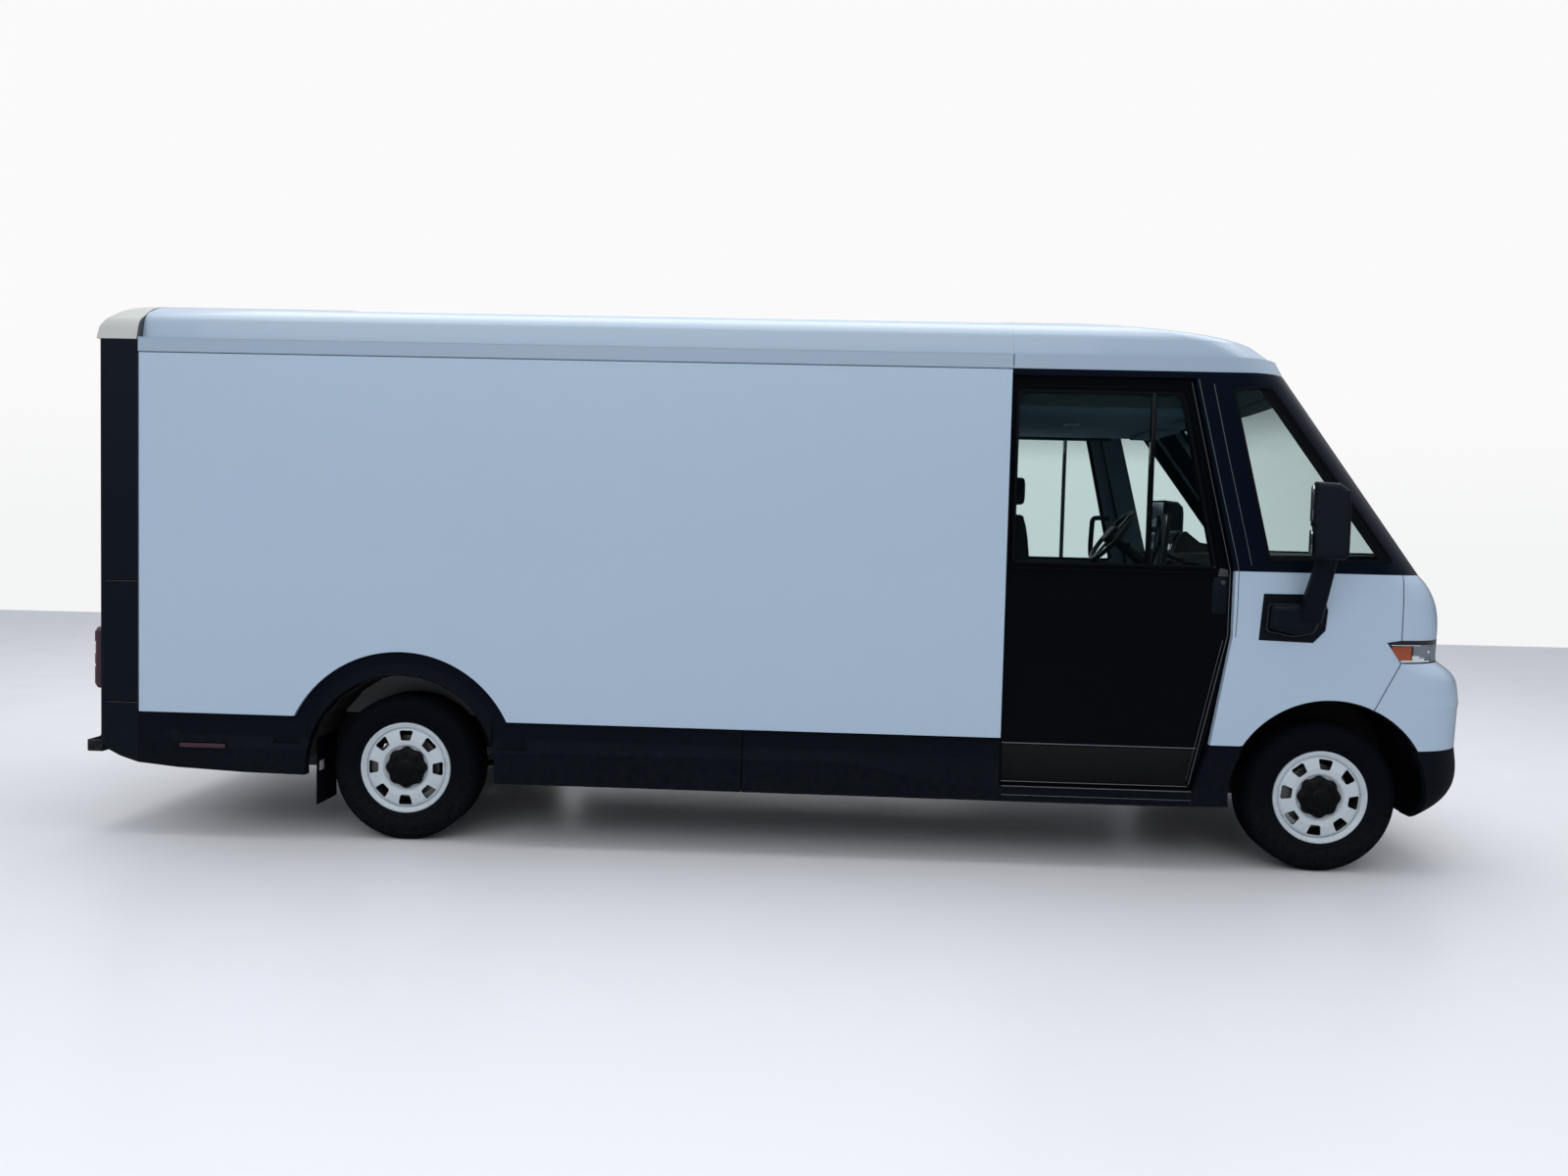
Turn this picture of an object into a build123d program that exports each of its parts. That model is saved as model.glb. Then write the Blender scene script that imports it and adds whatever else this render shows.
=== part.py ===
from build123d import *
import os
from math import cos, radians, sin

# Electric walk-in cargo van. Millimetres, +X forward, +Y to the driver's side (left), +Z up.
# The origin is on the ground, half way along the overall length, on the van's centre plane.

# ---- Overall sizes ---------------------------------------------------------------------------
wheelbase = 4660.0
front_overhang = 815.0
rear_overhang = 1670.0
body_width = 2200.0
body_height = 2780.0
tyre_radius = 378.0
tyre_width = 240.0
tyre_inset = 70.0            # tyre's outer face to the body side

half_width = body_width / 2
overall_length = rear_overhang + wheelbase + front_overhang
rear_axle = -overall_length / 2 + rear_overhang
front_axle = rear_axle + wheelbase
wheel_mid_y = half_width - tyre_inset - tyre_width / 2

# ---- Side view heights -----------------------------------------------------------------------
cladding_bottom = 330.0
portal_foot = 382.0
sill_height = 415.0
panel_bottom = 645.0
belt_height = 1507.0
panel_top = body_height - 302
rail_top = body_height - 229
frame_low = 520.0
frame_high = 620.0
load_floor_top = 680.0
cab_floor_top = 645.0
lamp_low = 1075.0
lamp_high = 1186.0
bumper_split = 640.0
bumper_low = 279.0

# ---- Side view stations, from the axles ------------------------------------------------------
portal_rear = rear_axle - 1575.0
panel_rear = rear_axle - 1361.0
pocket_rear = front_axle - 2600.0
panel_front = front_axle - 1620.0
roof_seam = front_axle - 1613.0
nose_seam = front_axle + 322.0
arch_radius = 490.0
arch_trim_radius = 610.0
fender_arch_radius = 503.0

# ---- Walls and clearances --------------------------------------------------------------------
cargo_wall = 90.0
pocket_skin = 27.0
roof_wall = 45.0
cab_skin = 35.0
cladding_thick = 50.0
pillar_depth = 45.0
glass_thick = 8.0
glass_inset = 4.0
door_recess = 42.0
door_thick = 40.0
door_clear = 7.0
door_travel = 900.0
inner_wall_thick = 25.0
closer_thick = 30.0
inner_wall_y = half_width - door_recess - door_thick - 15.0
seam = 5.0
seam_depth = 12.0
running_gap = 0.05
seat_gap = 0.3

# ---- Front-end shape: height, reach ahead of the front axle, plan corner radius --------------
front_bow = radians(7.0)     # how far the front face has turned where the corner begins
low_bumper_levels = [(bumper_low, 575, 330), (310, 650, 355), (413, 783, 390),
                     (536, front_overhang, 400), (bumper_split, 803, 400)]
foot_levels = [(bumper_split, 803, 400), (840, 811, 400)]
bumper_levels = [(840, 811, 400), (890, 811, 400), (930, 805, 398), (980, 790, 392),
                 (1020, 757, 383), (1050, 716, 372), (lamp_low, 674, 360)]
nose_levels = [(lamp_low, 674, 360), (lamp_high, 676, 360), (1331, 664, 345),
               (1430, 618, 320), (belt_height, 546, 290)]
windshield_foot = 546.0
windshield_head = -169.0
glass_levels = [(belt_height, windshield_foot, 290), (panel_top, windshield_head, 280)]

# ---- Roof section: half width and height, from the channel's crease to the crown -------------
# Above the rail a ledge steps in to a channel wall, which ends at the crease.
channel_foot = (half_width - 40, rail_top + 3)
roof_section = [(half_width - 56, body_height - 140), (half_width - 76, body_height - 108),
                (half_width - 115, body_height - 80), (half_width - 200, body_height - 45),
                (half_width - 340, body_height - 19), (half_width - 540, body_height - 5),
                (half_width - 780, body_height)]
# the cab roof's reach ahead of the front axle at each of those heights, and its corner radius
roof_reach = [(-285, 400), (-375, 400), (-500, 400), (-755, 380), (-1030, 340), (-1230, 240), (-1370, 150)]
rail_reach = -210.0
channel_reach = -216.0


def block(x0, x1, y0, y1, z0, z1):
    """A box given by its two corners."""
    middle = Pos((x0 + x1) / 2, (y0 + y1) / 2, (z0 + z1) / 2)
    return middle * Box(abs(x1 - x0), abs(y1 - y0), abs(z1 - z0))


def side_prism(points, y0, y1):
    """A side-view outline of (x, z) points, carried across the van from y0 to y1."""
    low, high = min(y0, y1), max(y0, y1)
    outline = Polyline(*[(x, low, z) for x, z in points], close=True)
    return extrude(make_face(outline), amount=high - low, dir=(0, 1, 0))


def across_disc(x, z, radius, y0, y1):
    """A round bar across the van, from y0 to y1."""
    middle = Pos(x, (y0 + y1) / 2, z)
    return middle * Rot(90, 0, 0) * Cylinder(radius, abs(y1 - y0))


def both(shape):
    """The shape and its mirror image on the other side of the van."""
    return [shape, mirror(shape, about=Plane.XZ)]


def left_of(shape):
    return mirror(shape, about=Plane.XZ)


def plan_outline(z, nose_x, side_y, corner, tail_x):
    """A plan section of the cab: straight sides, round corners and a bowed front."""
    edge_y = side_y - corner + corner * sin(front_bow)
    front_radius = edge_y / sin(front_bow)
    edge_x = nose_x - front_radius * (1 - cos(front_bow))
    centre_x = edge_x - corner * cos(front_bow)
    turn = (radians(90) + front_bow) / 2
    middle = (centre_x + corner * cos(turn), side_y - corner + corner * sin(turn))
    right_side = Line((tail_x, -side_y, z), (centre_x, -side_y, z))
    right_corner = ThreePointArc((centre_x, -side_y, z), (middle[0], -middle[1], z), (edge_x, -edge_y, z))
    front = ThreePointArc((edge_x, -edge_y, z), (nose_x, 0, z), (edge_x, edge_y, z))
    left_corner = ThreePointArc((edge_x, edge_y, z), (middle[0], middle[1], z), (centre_x, side_y, z))
    left_side = Line((centre_x, side_y, z), (tail_x, side_y, z))
    back = Line((tail_x, side_y, z), (tail_x, -side_y, z))
    return make_face([right_side, right_corner, front, left_corner, left_side, back])


def front_body(levels, tail_x, inset=0.0, ruled=False):
    """The front-end solid through the levels, its walls moved in by inset."""
    sections = []
    for z, reach, corner in levels:
        section = plan_outline(z, front_axle + reach - inset, half_width - inset, corner - inset * 0.6,
                               tail_x)
        sections.append(section)
    return loft(sections, ruled=ruled)


def front_shell(levels, tail_x, wall, ruled=False, outer_inset=0.0):
    """A hollow front-end band, open above, below and behind."""
    outer = front_body(levels, tail_x, outer_inset, ruled)
    inner = front_body(levels, tail_x - 60, outer_inset + wall, ruled)
    return outer - inner


# ---- Door outline ----------------------------------------------------------------------------
door_open_rear = front_axle - 1613.0
door_top = panel_top - 31
door_lead = [(front_axle - 726, door_top), (front_axle - 497, belt_height),
             (front_axle - 498, 1182), (front_axle - 664, sill_height)]


def door_outline(rear_x, grow):
    """The door's side view; grow moves the leading edge, the top and the foot outwards."""
    front = [(x + grow, z) for x, z in door_lead]
    front[0] = (front[0][0], front[0][1] + grow)
    front[-1] = (front[-1][0], front[-1][1] - grow)
    return [(rear_x, door_top + grow)] + front + [(rear_x, sill_height - grow)]


door_lap = 12.0              # how far the leaf reaches behind the frame round the opening
door_rear = door_open_rear - 35.0
door_outer_y = half_width - door_recess
door_inner_y = door_outer_y - door_thick


def door_sweep():
    """The space that the right door passes through, with its clearance."""
    outline = door_outline(door_rear - door_travel - 20, door_lap + door_clear)
    return side_prism(outline, -(door_outer_y + door_clear), -(door_inner_y - door_clear))


def door_opening():
    """The right doorway itself, cut through the outer frame."""
    return side_prism(door_outline(door_open_rear, 0), -half_width - 50, -inner_wall_y + 60)


sweep = door_sweep()
doorway = door_opening()

# ---- Chassis ---------------------------------------------------------------------------------
rail_y = 420.0
rail_wide = 80.0
rail_tail = portal_rear + 60
rail_nose = front_axle + 520


def chassis_frame():
    frame = block(rail_tail, rail_nose, rail_y, rail_y + rail_wide, frame_low, frame_high)
    frame += left_of(frame)
    for x in (rail_tail, rear_axle - 620, rear_axle + 560, front_axle - 2300, front_axle - 760,
              rail_nose - 80):
        frame += block(x, x + 80, -rail_y, rail_y, frame_low + 20, frame_high - 20)
    return frame


battery_low = 300.0
battery_half = 660.0
battery_rear = rear_axle + 720
battery_front = front_axle - 850


def battery_pack():
    pack = block(battery_rear, battery_front, -battery_half, battery_half, battery_low, frame_low)
    pack = fillet(pack.edges().filter_by(Axis.Z), 60)
    return chamfer(pack.faces().sort_by(Axis.Z)[0].edges(), 20)


# ---- Floors ----------------------------------------------------------------------------------
box_half = arch_radius + 30
box_inner_y = wheel_mid_y - tyre_width / 2 - 40
box_top = 900.0
box_wall = 20.0
bulkhead_rear = front_axle - 1658.0
bulkhead_thick = 30.0
load_floor_edge = half_width - cargo_wall


def wheel_box(x, inner_y, outer_y, low):
    """A closed box over the right wheel and the space to cut out of it."""
    shell = block(x - box_half, x + box_half, -outer_y, -inner_y, low, box_top)
    room = block(x - box_half + box_wall, x + box_half - box_wall, -outer_y - 5, -inner_y - box_wall,
                 low - 200, box_top - box_wall)
    return shell, room


def load_floor():
    floor = block(panel_rear, bulkhead_rear, -load_floor_edge, load_floor_edge, frame_high, load_floor_top)
    # beside the door pockets the floor stops at the inner walls
    notch = block(pocket_rear - closer_thick, bulkhead_rear + 5, -load_floor_edge - 5,
                  -inner_wall_y + inner_wall_thick, frame_high - 5, load_floor_top + 5)
    for cut in both(notch):
        floor -= cut
    shell, room = wheel_box(rear_axle, box_inner_y, load_floor_edge, frame_high)
    for add in both(shell):
        floor += add
    for cut in both(room):
        floor -= cut
    return floor


steer_inner_y = 560.0
front_box_half = arch_radius + 10
firewall_x = front_axle - 30
firewall_thick = 20.0
step_rear = door_open_rear + 40
step_front = front_axle - 690
step_inner_y = 705.0
step_thick = 30.0


def front_inside():
    """The space inside the front skins, from the lower bumper to the belt."""
    tail = front_axle - 700
    room = front_body(low_bumper_levels, tail, cab_skin)
    room += front_body(foot_levels, tail, cab_skin, ruled=True)
    room += front_body(bumper_levels, tail, cab_skin)
    return room + front_body(nose_levels, tail, cab_skin)


front_room = front_inside()


def cab_floor():
    """Cab floor, entry wells, front wheel boxes and firewall, welded up as one."""
    thick = cab_floor_top - frame_high
    rear_x = bulkhead_rear + bulkhead_thick
    floor = block(rear_x, firewall_x + firewall_thick, -inner_wall_y, inner_wall_y, frame_high, cab_floor_top)
    wall_outer = half_width - cladding_thick
    floor += block(firewall_x, firewall_x + firewall_thick, -wall_outer, wall_outer, frame_high,
                   belt_height - 40)
    shell = block(front_axle - front_box_half, front_axle + front_box_half, -wall_outer, -steer_inner_y,
                  frame_high, box_top)
    shell = shell & front_room
    room = block(front_axle - front_box_half + box_wall, front_axle + front_box_half - box_wall,
                 -wall_outer - 5, -steer_inner_y - box_wall, frame_high - 200, box_top - box_wall)
    well = block(step_rear, step_front, -inner_wall_y - 5, -step_inner_y, frame_high - 5, cab_floor_top + 5)
    tray = block(step_rear - step_thick, step_front + step_thick, -inner_wall_y, -step_inner_y + step_thick,
                 sill_height - step_thick, cab_floor_top)
    tray -= block(step_rear, step_front, -inner_wall_y - 5, -step_inner_y, sill_height, cab_floor_top + 5)
    # the door leaf slides on this track
    track = block(pocket_rear, step_front + 20, -half_width + cladding_thick + 0.5, -inner_wall_y + 5,
                  sill_height - 25, sill_height - door_lap - seat_gap)
    for side in range(2):
        turn = left_of if side else (lambda shape: shape)
        floor += turn(shell)
        floor -= turn(room)
        floor -= turn(well)
        floor += turn(tray)
        floor -= turn(sweep)
        floor += turn(track)
    return floor


# ---- Cargo body ------------------------------------------------------------------------------
def cargo_side():
    """The right side wall: whole thickness aft, outer skin only beside the door pocket."""
    low, high = panel_bottom, panel_top
    wall = block(panel_rear, panel_front, -half_width, -half_width + cargo_wall, low, high)
    wall -= block(pocket_rear, panel_front + 5, -half_width + pocket_skin, 0, low - 5, high - 30)
    wall -= across_disc(rear_axle, tyre_radius, arch_trim_radius, -half_width - 5, 0)
    wall -= sweep
    # shut lines at the rear edge and under the rail
    wall -= block(panel_rear, panel_rear + seam, -half_width - 5, -half_width + seam_depth, low, high)
    wall -= block(panel_rear, panel_front, -half_width - 5, -half_width + seam_depth, high - seam, high)
    return wall


def door_pockets():
    """The inner walls that close the door pockets towards the load space."""
    wall = block(pocket_rear, bulkhead_rear + bulkhead_thick, -inner_wall_y, -inner_wall_y + inner_wall_thick,
                 load_floor_top, panel_top)
    wall += block(pocket_rear, bulkhead_rear, -inner_wall_y, -inner_wall_y + inner_wall_thick,
                  frame_high, load_floor_top + 1)
    closer = block(pocket_rear - closer_thick, pocket_rear, -half_width + cargo_wall,
                   -inner_wall_y + inner_wall_thick, frame_high, panel_top)
    return Compound(children=both(wall + closer))


ledge_deep = 18.0            # how far the upper band of the cladding lies behind the lower one
arch_slope = (551.0, 497.0)  # radii between which the arch trim slopes out to its lip


def ledge_cut(outer, inner):
    """The space over the cladding's ledge: its lower line at the skin and at full depth."""
    faces = []
    for y, line in ((-half_width - 0.01, outer), (-half_width + ledge_deep, inner)):
        foot = [(x, y, panel_bottom - drop) for x, drop in line]
        top = [(line[-1][0], y, panel_bottom + 20), (line[0][0], y, panel_bottom + 20)]
        faces.append(make_face(Polyline(*foot, *top, close=True)))
    return loft(faces, ruled=True)


def arch_ring_cut():
    """The ring that is sunk into the arch trim, above the sill."""
    y0, y1 = -half_width - 0.01, -half_width + ledge_deep
    far = arch_trim_radius + 60
    section = [(arch_slope[1], y0), (arch_slope[0], y1), (far, y1), (far, y0)]
    outline = Polyline(*[(rear_axle + radius, y, tyre_radius) for radius, y in section], close=True)
    axis = Axis((rear_axle, 0, tyre_radius), (0, 1, 0))
    ring = revolve(make_face(outline), axis=axis, revolution_arc=360)
    return ring & block(rear_axle - 800, rear_axle + 800, -half_width - 5, 0, 500, 1200)


def cladding():
    """The right black sill cladding with the rear wheel arch trim."""
    rear_x, front_x = panel_rear, front_axle - 440
    outline = [(rear_x, panel_bottom), (rear_x, portal_foot), (rear_axle - 1150, 362), (rear_axle - 800, 347),
               (rear_axle + 520, cladding_bottom), (front_axle - 900, cladding_bottom - 4),
               (front_x, cladding_bottom + 4), (front_x, bumper_split), (front_axle - 587, bumper_split),
               (front_axle - 664, sill_height - 15), (panel_front, sill_height - 15),
               (panel_front, panel_bottom)]
    skirt = side_prism(outline, -half_width, -half_width + cladding_thick)
    trim = across_disc(rear_axle, tyre_radius, arch_trim_radius, -half_width, -half_width + cladding_thick)
    trim -= block(rear_axle - 900, rear_axle + 900, -half_width - 5, 0, -500, panel_bottom - 5)
    skirt += trim
    skirt -= across_disc(rear_axle, tyre_radius, arch_radius, -half_width - 5, 0)
    skirt -= across_disc(front_axle, tyre_radius, arch_radius, -half_width - 5, 0)
    # the door pocket runs down behind the skin
    skirt -= block(pocket_rear, panel_front + 5, -half_width + pocket_skin + ledge_deep, 0, sill_height - 25,
                   panel_bottom + 5)
    skirt -= sweep
    skirt -= block(front_axle - 700, front_axle - 300, -half_width + cab_skin, 0, 300, 700)
    # upper band, sunk behind a ledge that sweeps down to the doorway
    # stations along the van, then how far below the panel's edge the ledge lies there
    tail = [(rear_axle - 1210, 105), (rear_axle - 1150, 171), (rear_axle - 470, 171)]
    tail_deep = [(rear_axle - 1175, 85), (rear_axle - 1140, 112), (rear_axle - 470, 112)]
    sill = [(rear_axle + 470, 155), (panel_front - 790, 147), (panel_front - 440, 205),
            (panel_front - 190, 249), (panel_front + 20, 261)]
    sill_deep = [(rear_axle + 470, 85), (panel_front - 790, 93), (panel_front - 440, 102),
                 (panel_front - 190, 110), (panel_front + 20, 117)]
    for outer, inner in ((tail, tail_deep), (sill, sill_deep)):
        skirt -= ledge_cut(outer, inner)
    skirt -= arch_ring_cut()
    # the joint between its two mouldings
    joint_x = rear_axle + 1746
    skirt -= block(joint_x, joint_x + 4, -half_width - 5, -half_width + ledge_deep + 8, 300, panel_bottom)
    return skirt


def roof_outline(inset, low):
    """Closed roof section over the full width, moved in by inset."""
    right = [(-(y - inset), z - inset) for y, z in roof_section]
    left = [(-y, z) for y, z in reversed(right)]
    side_y, side_z = half_width - inset, rail_top - inset
    foot_y, foot_z = channel_foot[0] - inset, channel_foot[1] - inset
    crown = Spline(*[(0, y, z) for y, z in right + left])
    rail = [left[-1], (foot_y, foot_z), (side_y, side_z), (side_y, low),
            (-side_y, low), (-side_y, side_z), (-foot_y, foot_z), right[0]]
    return make_face([crown, Polyline(*[(0, y, z) for y, z in rail])])


def roof_bar(x0, x1, inset, low):
    return Pos(x0, 0, 0) * extrude(roof_outline(inset, low), amount=x1 - x0, dir=(1, 0, 0))


def roof_cargo():
    roof = roof_bar(panel_rear, roof_seam, 0, panel_top)
    roof -= roof_bar(panel_rear - 5, roof_seam + 5, roof_wall, panel_top - 100)
    roof -= block(roof_seam - seam, roof_seam + 5, -half_width - 5, -half_width + seam_depth,
                  panel_top - 5, rail_top)
    return roof


def cab_roof_solid(inset):
    """The cab roof as a filled dome, moved in by inset."""
    tail = roof_seam - (60 if inset else 0)
    low = panel_top - (100 if inset else 0)
    edges = [(half_width, low, windshield_head, 285), (half_width, rail_top - inset, rail_reach, 285),
             (channel_foot[0], channel_foot[1] - inset, channel_reach, 270)]
    rail = [plan_outline(z, front_axle + reach - inset, y - inset, corner - inset * 0.6, tail)
            for y, z, reach, corner in edges]
    dome = [plan_outline(z - inset, front_axle + reach - inset, y - inset, corner - inset * 0.6, tail)
            for (y, z), (reach, corner) in zip(roof_section, roof_reach)]
    return loft(rail + dome[:1], ruled=True) + loft(dome)


def roof_cab():
    return cab_roof_solid(0) - cab_roof_solid(roof_wall)


# ---- Rear end --------------------------------------------------------------------------------
portal_top = body_height - 241
portal_post = 170.0
opening_half = half_width - portal_post
opening_low = 690.0
opening_high = portal_top - 139
portal_depth = panel_rear - portal_rear


def portal_side():
    """Side view of the portal, its lower corner swept forward."""
    return [(portal_rear, portal_top), (panel_rear, portal_top), (panel_rear, portal_foot),
            (portal_rear + 120, 412), (portal_rear + 45, 450), (portal_rear, 505)]


# the number plate's screw holes in the portal
plate_pitch_y = 177.8
plate_pitch_z = 120.65
plate_hole = 3.5
plate_hole_deep = 25.0
plate_z = 590.0


def rear_portal():
    portal = side_prism(portal_side(), -half_width, half_width)
    edges = portal.edges().filter_by(Axis.Z).group_by(Axis.X)[0]
    portal = fillet(edges, 45)
    portal -= block(portal_rear - 5, panel_rear + 5, -opening_half, opening_half, opening_low, opening_high)
    # room for the frame rails and the rolled-up door behind the face
    portal -= block(portal_rear + 60, panel_rear + 5, -opening_half, opening_half, 300, opening_low - 60)
    portal -= block(portal_rear + 60, panel_rear + 5, -opening_half, opening_half,
                    opening_high - 5, portal_top + 5)
    for z in (1313.0, 689.0):
        line = block(portal_rear - 5, panel_rear + 5, -half_width - 5, -half_width + 6, z, z + seam)
        for cut in both(line):
            portal -= cut
    hanger_slot = block(portal_rear - 5, portal_rear + 65, -rail_y - rail_wide - 6, -rail_y + 6,
                        370, frame_low + 6)
    for cut in both(hanger_slot):
        portal -= cut
    # two rows of plate holes in the cross bar
    for y in (-plate_pitch_y / 2, plate_pitch_y / 2):
        for z in (plate_z - plate_pitch_z / 2, plate_z + plate_pitch_z / 2):
            portal -= Pos(portal_rear, y, z) * Rot(0, 90, 0) * Cylinder(plate_hole, 2 * plate_hole_deep)
    return portal


def rear_cap():
    """The light moulded cap over the portal."""
    bulge = [(half_width, portal_top), (half_width - 12, body_height - 190),
             (half_width - 38, body_height - 135)]
    right = [(-y, z) for y, z in bulge + roof_section[1:]]
    left = [(-y, z) for y, z in reversed(right)]
    crown = Spline(*[(portal_rear, y, z) for y, z in right + left])
    foot = Line((portal_rear, half_width, portal_top), (portal_rear, -half_width, portal_top))
    cap = extrude(make_face([crown, foot]), amount=portal_depth, dir=(1, 0, 0))
    top = body_height
    back = [(portal_rear, portal_top), (portal_rear + 6, top - 180), (portal_rear + 55, top - 90),
            (portal_rear + 130, top - 35), (panel_rear, top), (panel_rear, portal_top)]
    cap = cap & side_prism(back, -half_width - 5, half_width + 5)
    hollow = roof_bar(portal_rear + 60, panel_rear + 5, roof_wall + 20, portal_top - 200)
    slope = [(portal_rear + 60, portal_top - 5), (portal_rear + 66, top - 220),
             (portal_rear + 115, top - 140), (portal_rear + 185, top - 90),
             (panel_rear + 10, top - 60), (panel_rear + 10, portal_top - 5)]
    return cap - (hollow & side_prism(slope, -half_width, half_width))


def rear_door():
    """Roll-up door: slats hooked together, one above the other, in side tracks."""
    outer_x = portal_rear + 30
    thick = 28.0
    leaf = block(outer_x, outer_x + thick, -opening_half, opening_half, opening_low, opening_high)
    slat = (opening_high - opening_low) / 9
    for row in range(1, 9):
        z = opening_low + slat * row
        leaf -= block(outer_x - 5, outer_x + 8, -opening_half - 5, opening_half + 5, z - 4, z + 4)
        leaf -= block(outer_x + thick - 8, outer_x + thick + 5, -opening_half - 5, opening_half + 5,
                      z - 4, z + 4)
    leaf += block(outer_x - 22, outer_x, -90, 90, opening_low + 60, opening_low + 130)
    return leaf


step_half = 1055.0
step_low = 422.0
step_high = 478.0
step_rear_x = -overall_length / 2
step_depth = 93.0


def rear_step():
    step = block(step_rear_x, step_rear_x + step_depth, -step_half, step_half, step_low, step_high)
    step = fillet(step.edges().filter_by(Axis.Z).group_by(Axis.X)[0], 30)
    hanger = block(step_rear_x + step_depth - 5, rail_tail + 75, -rail_y - rail_wide, -rail_y, step_low + 10,
                   frame_low)
    for add in both(hanger):
        step += add
    return step


def tail_lamps():
    lamp = block(portal_rear - 34, portal_rear, -half_width + 30, -half_width + 120, 750, 1072)
    lamp = fillet(lamp.edges().filter_by(Axis.X), 30)
    lamp = fillet(lamp.edges().group_by(Axis.X)[0], 16)
    return Compound(children=both(lamp))


def mud_flaps():
    back = rear_axle - box_half + box_wall
    flap = block(back + 30, back + 38, -half_width + 92, -box_inner_y - 30, 170, frame_high + 80)
    flap += block(back, back + 38, -half_width + 92, -box_inner_y - 30, frame_high + 40, frame_high + 80)
    return Compound(children=both(flap))


# ---- Cab -------------------------------------------------------------------------------------
screen_half = 925.0
screen_low = 1560.0
screen_high = 2425.0
quarter_outline = [(front_axle - 551, 2400), (front_axle - 361, 2415), (front_axle + 268, 1568),
                   (front_axle - 338, 1552)]


def screen_cut():
    """Front view of the windshield opening, carried forward through the front."""
    x0 = front_axle - 700
    opening = block(x0, front_axle + 700, -screen_half, screen_half, screen_low, screen_high)
    return fillet(opening.edges().filter_by(Axis.X), 60)


def cab_frame():
    """Black pillars, door header and windshield surround: one welded frame."""
    frame = front_shell(glass_levels, roof_seam, pillar_depth, ruled=True)
    frame -= screen_cut()
    for cut in both(side_prism(quarter_outline, -half_width - 5, -half_width + 200)):
        frame -= cut
    header = block(roof_seam, front_axle - 700, -half_width + pillar_depth - 1, -inner_wall_y + 20,
                   door_top + door_lap + door_clear, panel_top)
    post = [(x + door_lap + door_clear, z) for x, z in door_lead]
    post_back = [(x + 75, z) for x, z in reversed(post)]
    lead_post = side_prism(post + post_back, -half_width + cab_skin, -inner_wall_y)
    for side in range(2):
        turn = left_of if side else (lambda shape: shape)
        frame += turn(header)
        frame += turn(lead_post)
        frame -= turn(block(front_axle - front_box_half, front_axle, -half_width + cab_skin, -steer_inner_y,
                            frame_high, box_top))
        frame -= turn(doorway)
        frame -= turn(sweep)
    return frame


def windshield():
    pane = front_shell(glass_levels, front_axle - 700, glass_thick, ruled=True, outer_inset=glass_inset)
    return pane & screen_cut()


def quarter_glass():
    pane = front_shell(glass_levels, front_axle - 700, glass_thick, ruled=True, outer_inset=glass_inset)
    right = pane & side_prism(quarter_outline, -half_width - 5, -half_width + 200)
    return Compound(children=both(right))


def nose_skin():
    """Nose and fender skin from the foot of the fender to the belt."""
    tail = front_axle - 700
    upper = front_shell(nose_levels, tail, cab_skin)
    lower = front_shell(bumper_levels, tail, cab_skin)
    foot = front_shell(foot_levels, tail, cab_skin, ruled=True)
    return upper + lower + foot


fender_outline = [(front_axle - 497, belt_height), (nose_seam, belt_height), (nose_seam, lamp_high),
                  (nose_seam - 70, lamp_high - 12), (nose_seam, lamp_low), (front_axle + 195, 825),
                  (front_axle - 440, bumper_split), (front_axle - 587, bumper_split),
                  (front_axle - 498, 1182)]
lamp_outline = [(nose_seam - 70, lamp_high - 12), (nose_seam, lamp_high), (front_axle + 900, lamp_high),
                (front_axle + 900, lamp_low), (nose_seam, lamp_low)]
bumper_outline = [(nose_seam, lamp_low), (front_axle + 900, lamp_low), (front_axle + 900, bumper_split),
                  (front_axle + 195, bumper_split), (front_axle + 195, 825)]
nose_outline = [(nose_seam, belt_height), (nose_seam, lamp_high), (front_axle + 900, lamp_high),
                (front_axle + 900, belt_height)]
hood_half = 700.0
hood_high = 1440.0
hood_gap = 8.0
lamp_inner_y = 560.0

skin = nose_skin()


def fender():
    wing = skin & side_prism(fender_outline, -half_width - 5, -half_width + 260)
    wing -= across_disc(front_axle, tyre_radius, fender_arch_radius, -half_width - 5, 0)
    wing -= side_prism(base_outline, -half_width - 5, -half_width + base_deep)
    return wing - sweep


def hood_cut(grow):
    return block(front_axle + 300, front_axle + 900, -hood_half - grow, hood_half + grow,
                 lamp_high + 4 - grow, hood_high + grow)


def nose_panel():
    """The fixed nose round the hood, with the cowl under the windshield."""
    panel = skin & side_prism(nose_outline, -half_width - 5, half_width + 5)
    return panel - hood_cut(hood_gap)


def hood():
    lid = skin & hood_cut(0)
    barrel = hood_gap / 2
    return lid + across_disc(front_axle + 606, hood_high + barrel - seat_gap, barrel, -110, 110)


def headlamps():
    band = skin & side_prism(lamp_outline, -half_width - 5, half_width + 5)
    lamp = band - block(front_axle, front_axle + 900, -lamp_inner_y, half_width + 5,
                        lamp_low - 5, lamp_high + 5)
    return Compound(children=both(lamp))


def front_band():
    band = skin & block(front_axle + 300, front_axle + 900, -lamp_inner_y, lamp_inner_y, lamp_low, lamp_high)
    return band


def grille_cut():
    """The middle of the bumper, where the black lower moulding rises into the white one."""
    x = front_axle + 300
    outline = [(x, -840, bumper_split - 1), (x, -740, 868), (x, 740, 868), (x, 840, bumper_split - 1)]
    return extrude(make_face(Polyline(*outline, close=True)), amount=600, dir=(1, 0, 0))


def bumper_upper():
    """White bumper cover: the brow over the lower moulding and the corners beside it."""
    shell = skin & side_prism(bumper_outline, -half_width - 5, half_width + 5)
    shell -= grille_cut()
    for cut in both(across_disc(front_axle, tyre_radius, fender_arch_radius, -half_width - 5, 0)):
        shell -= cut
    return shell


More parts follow.
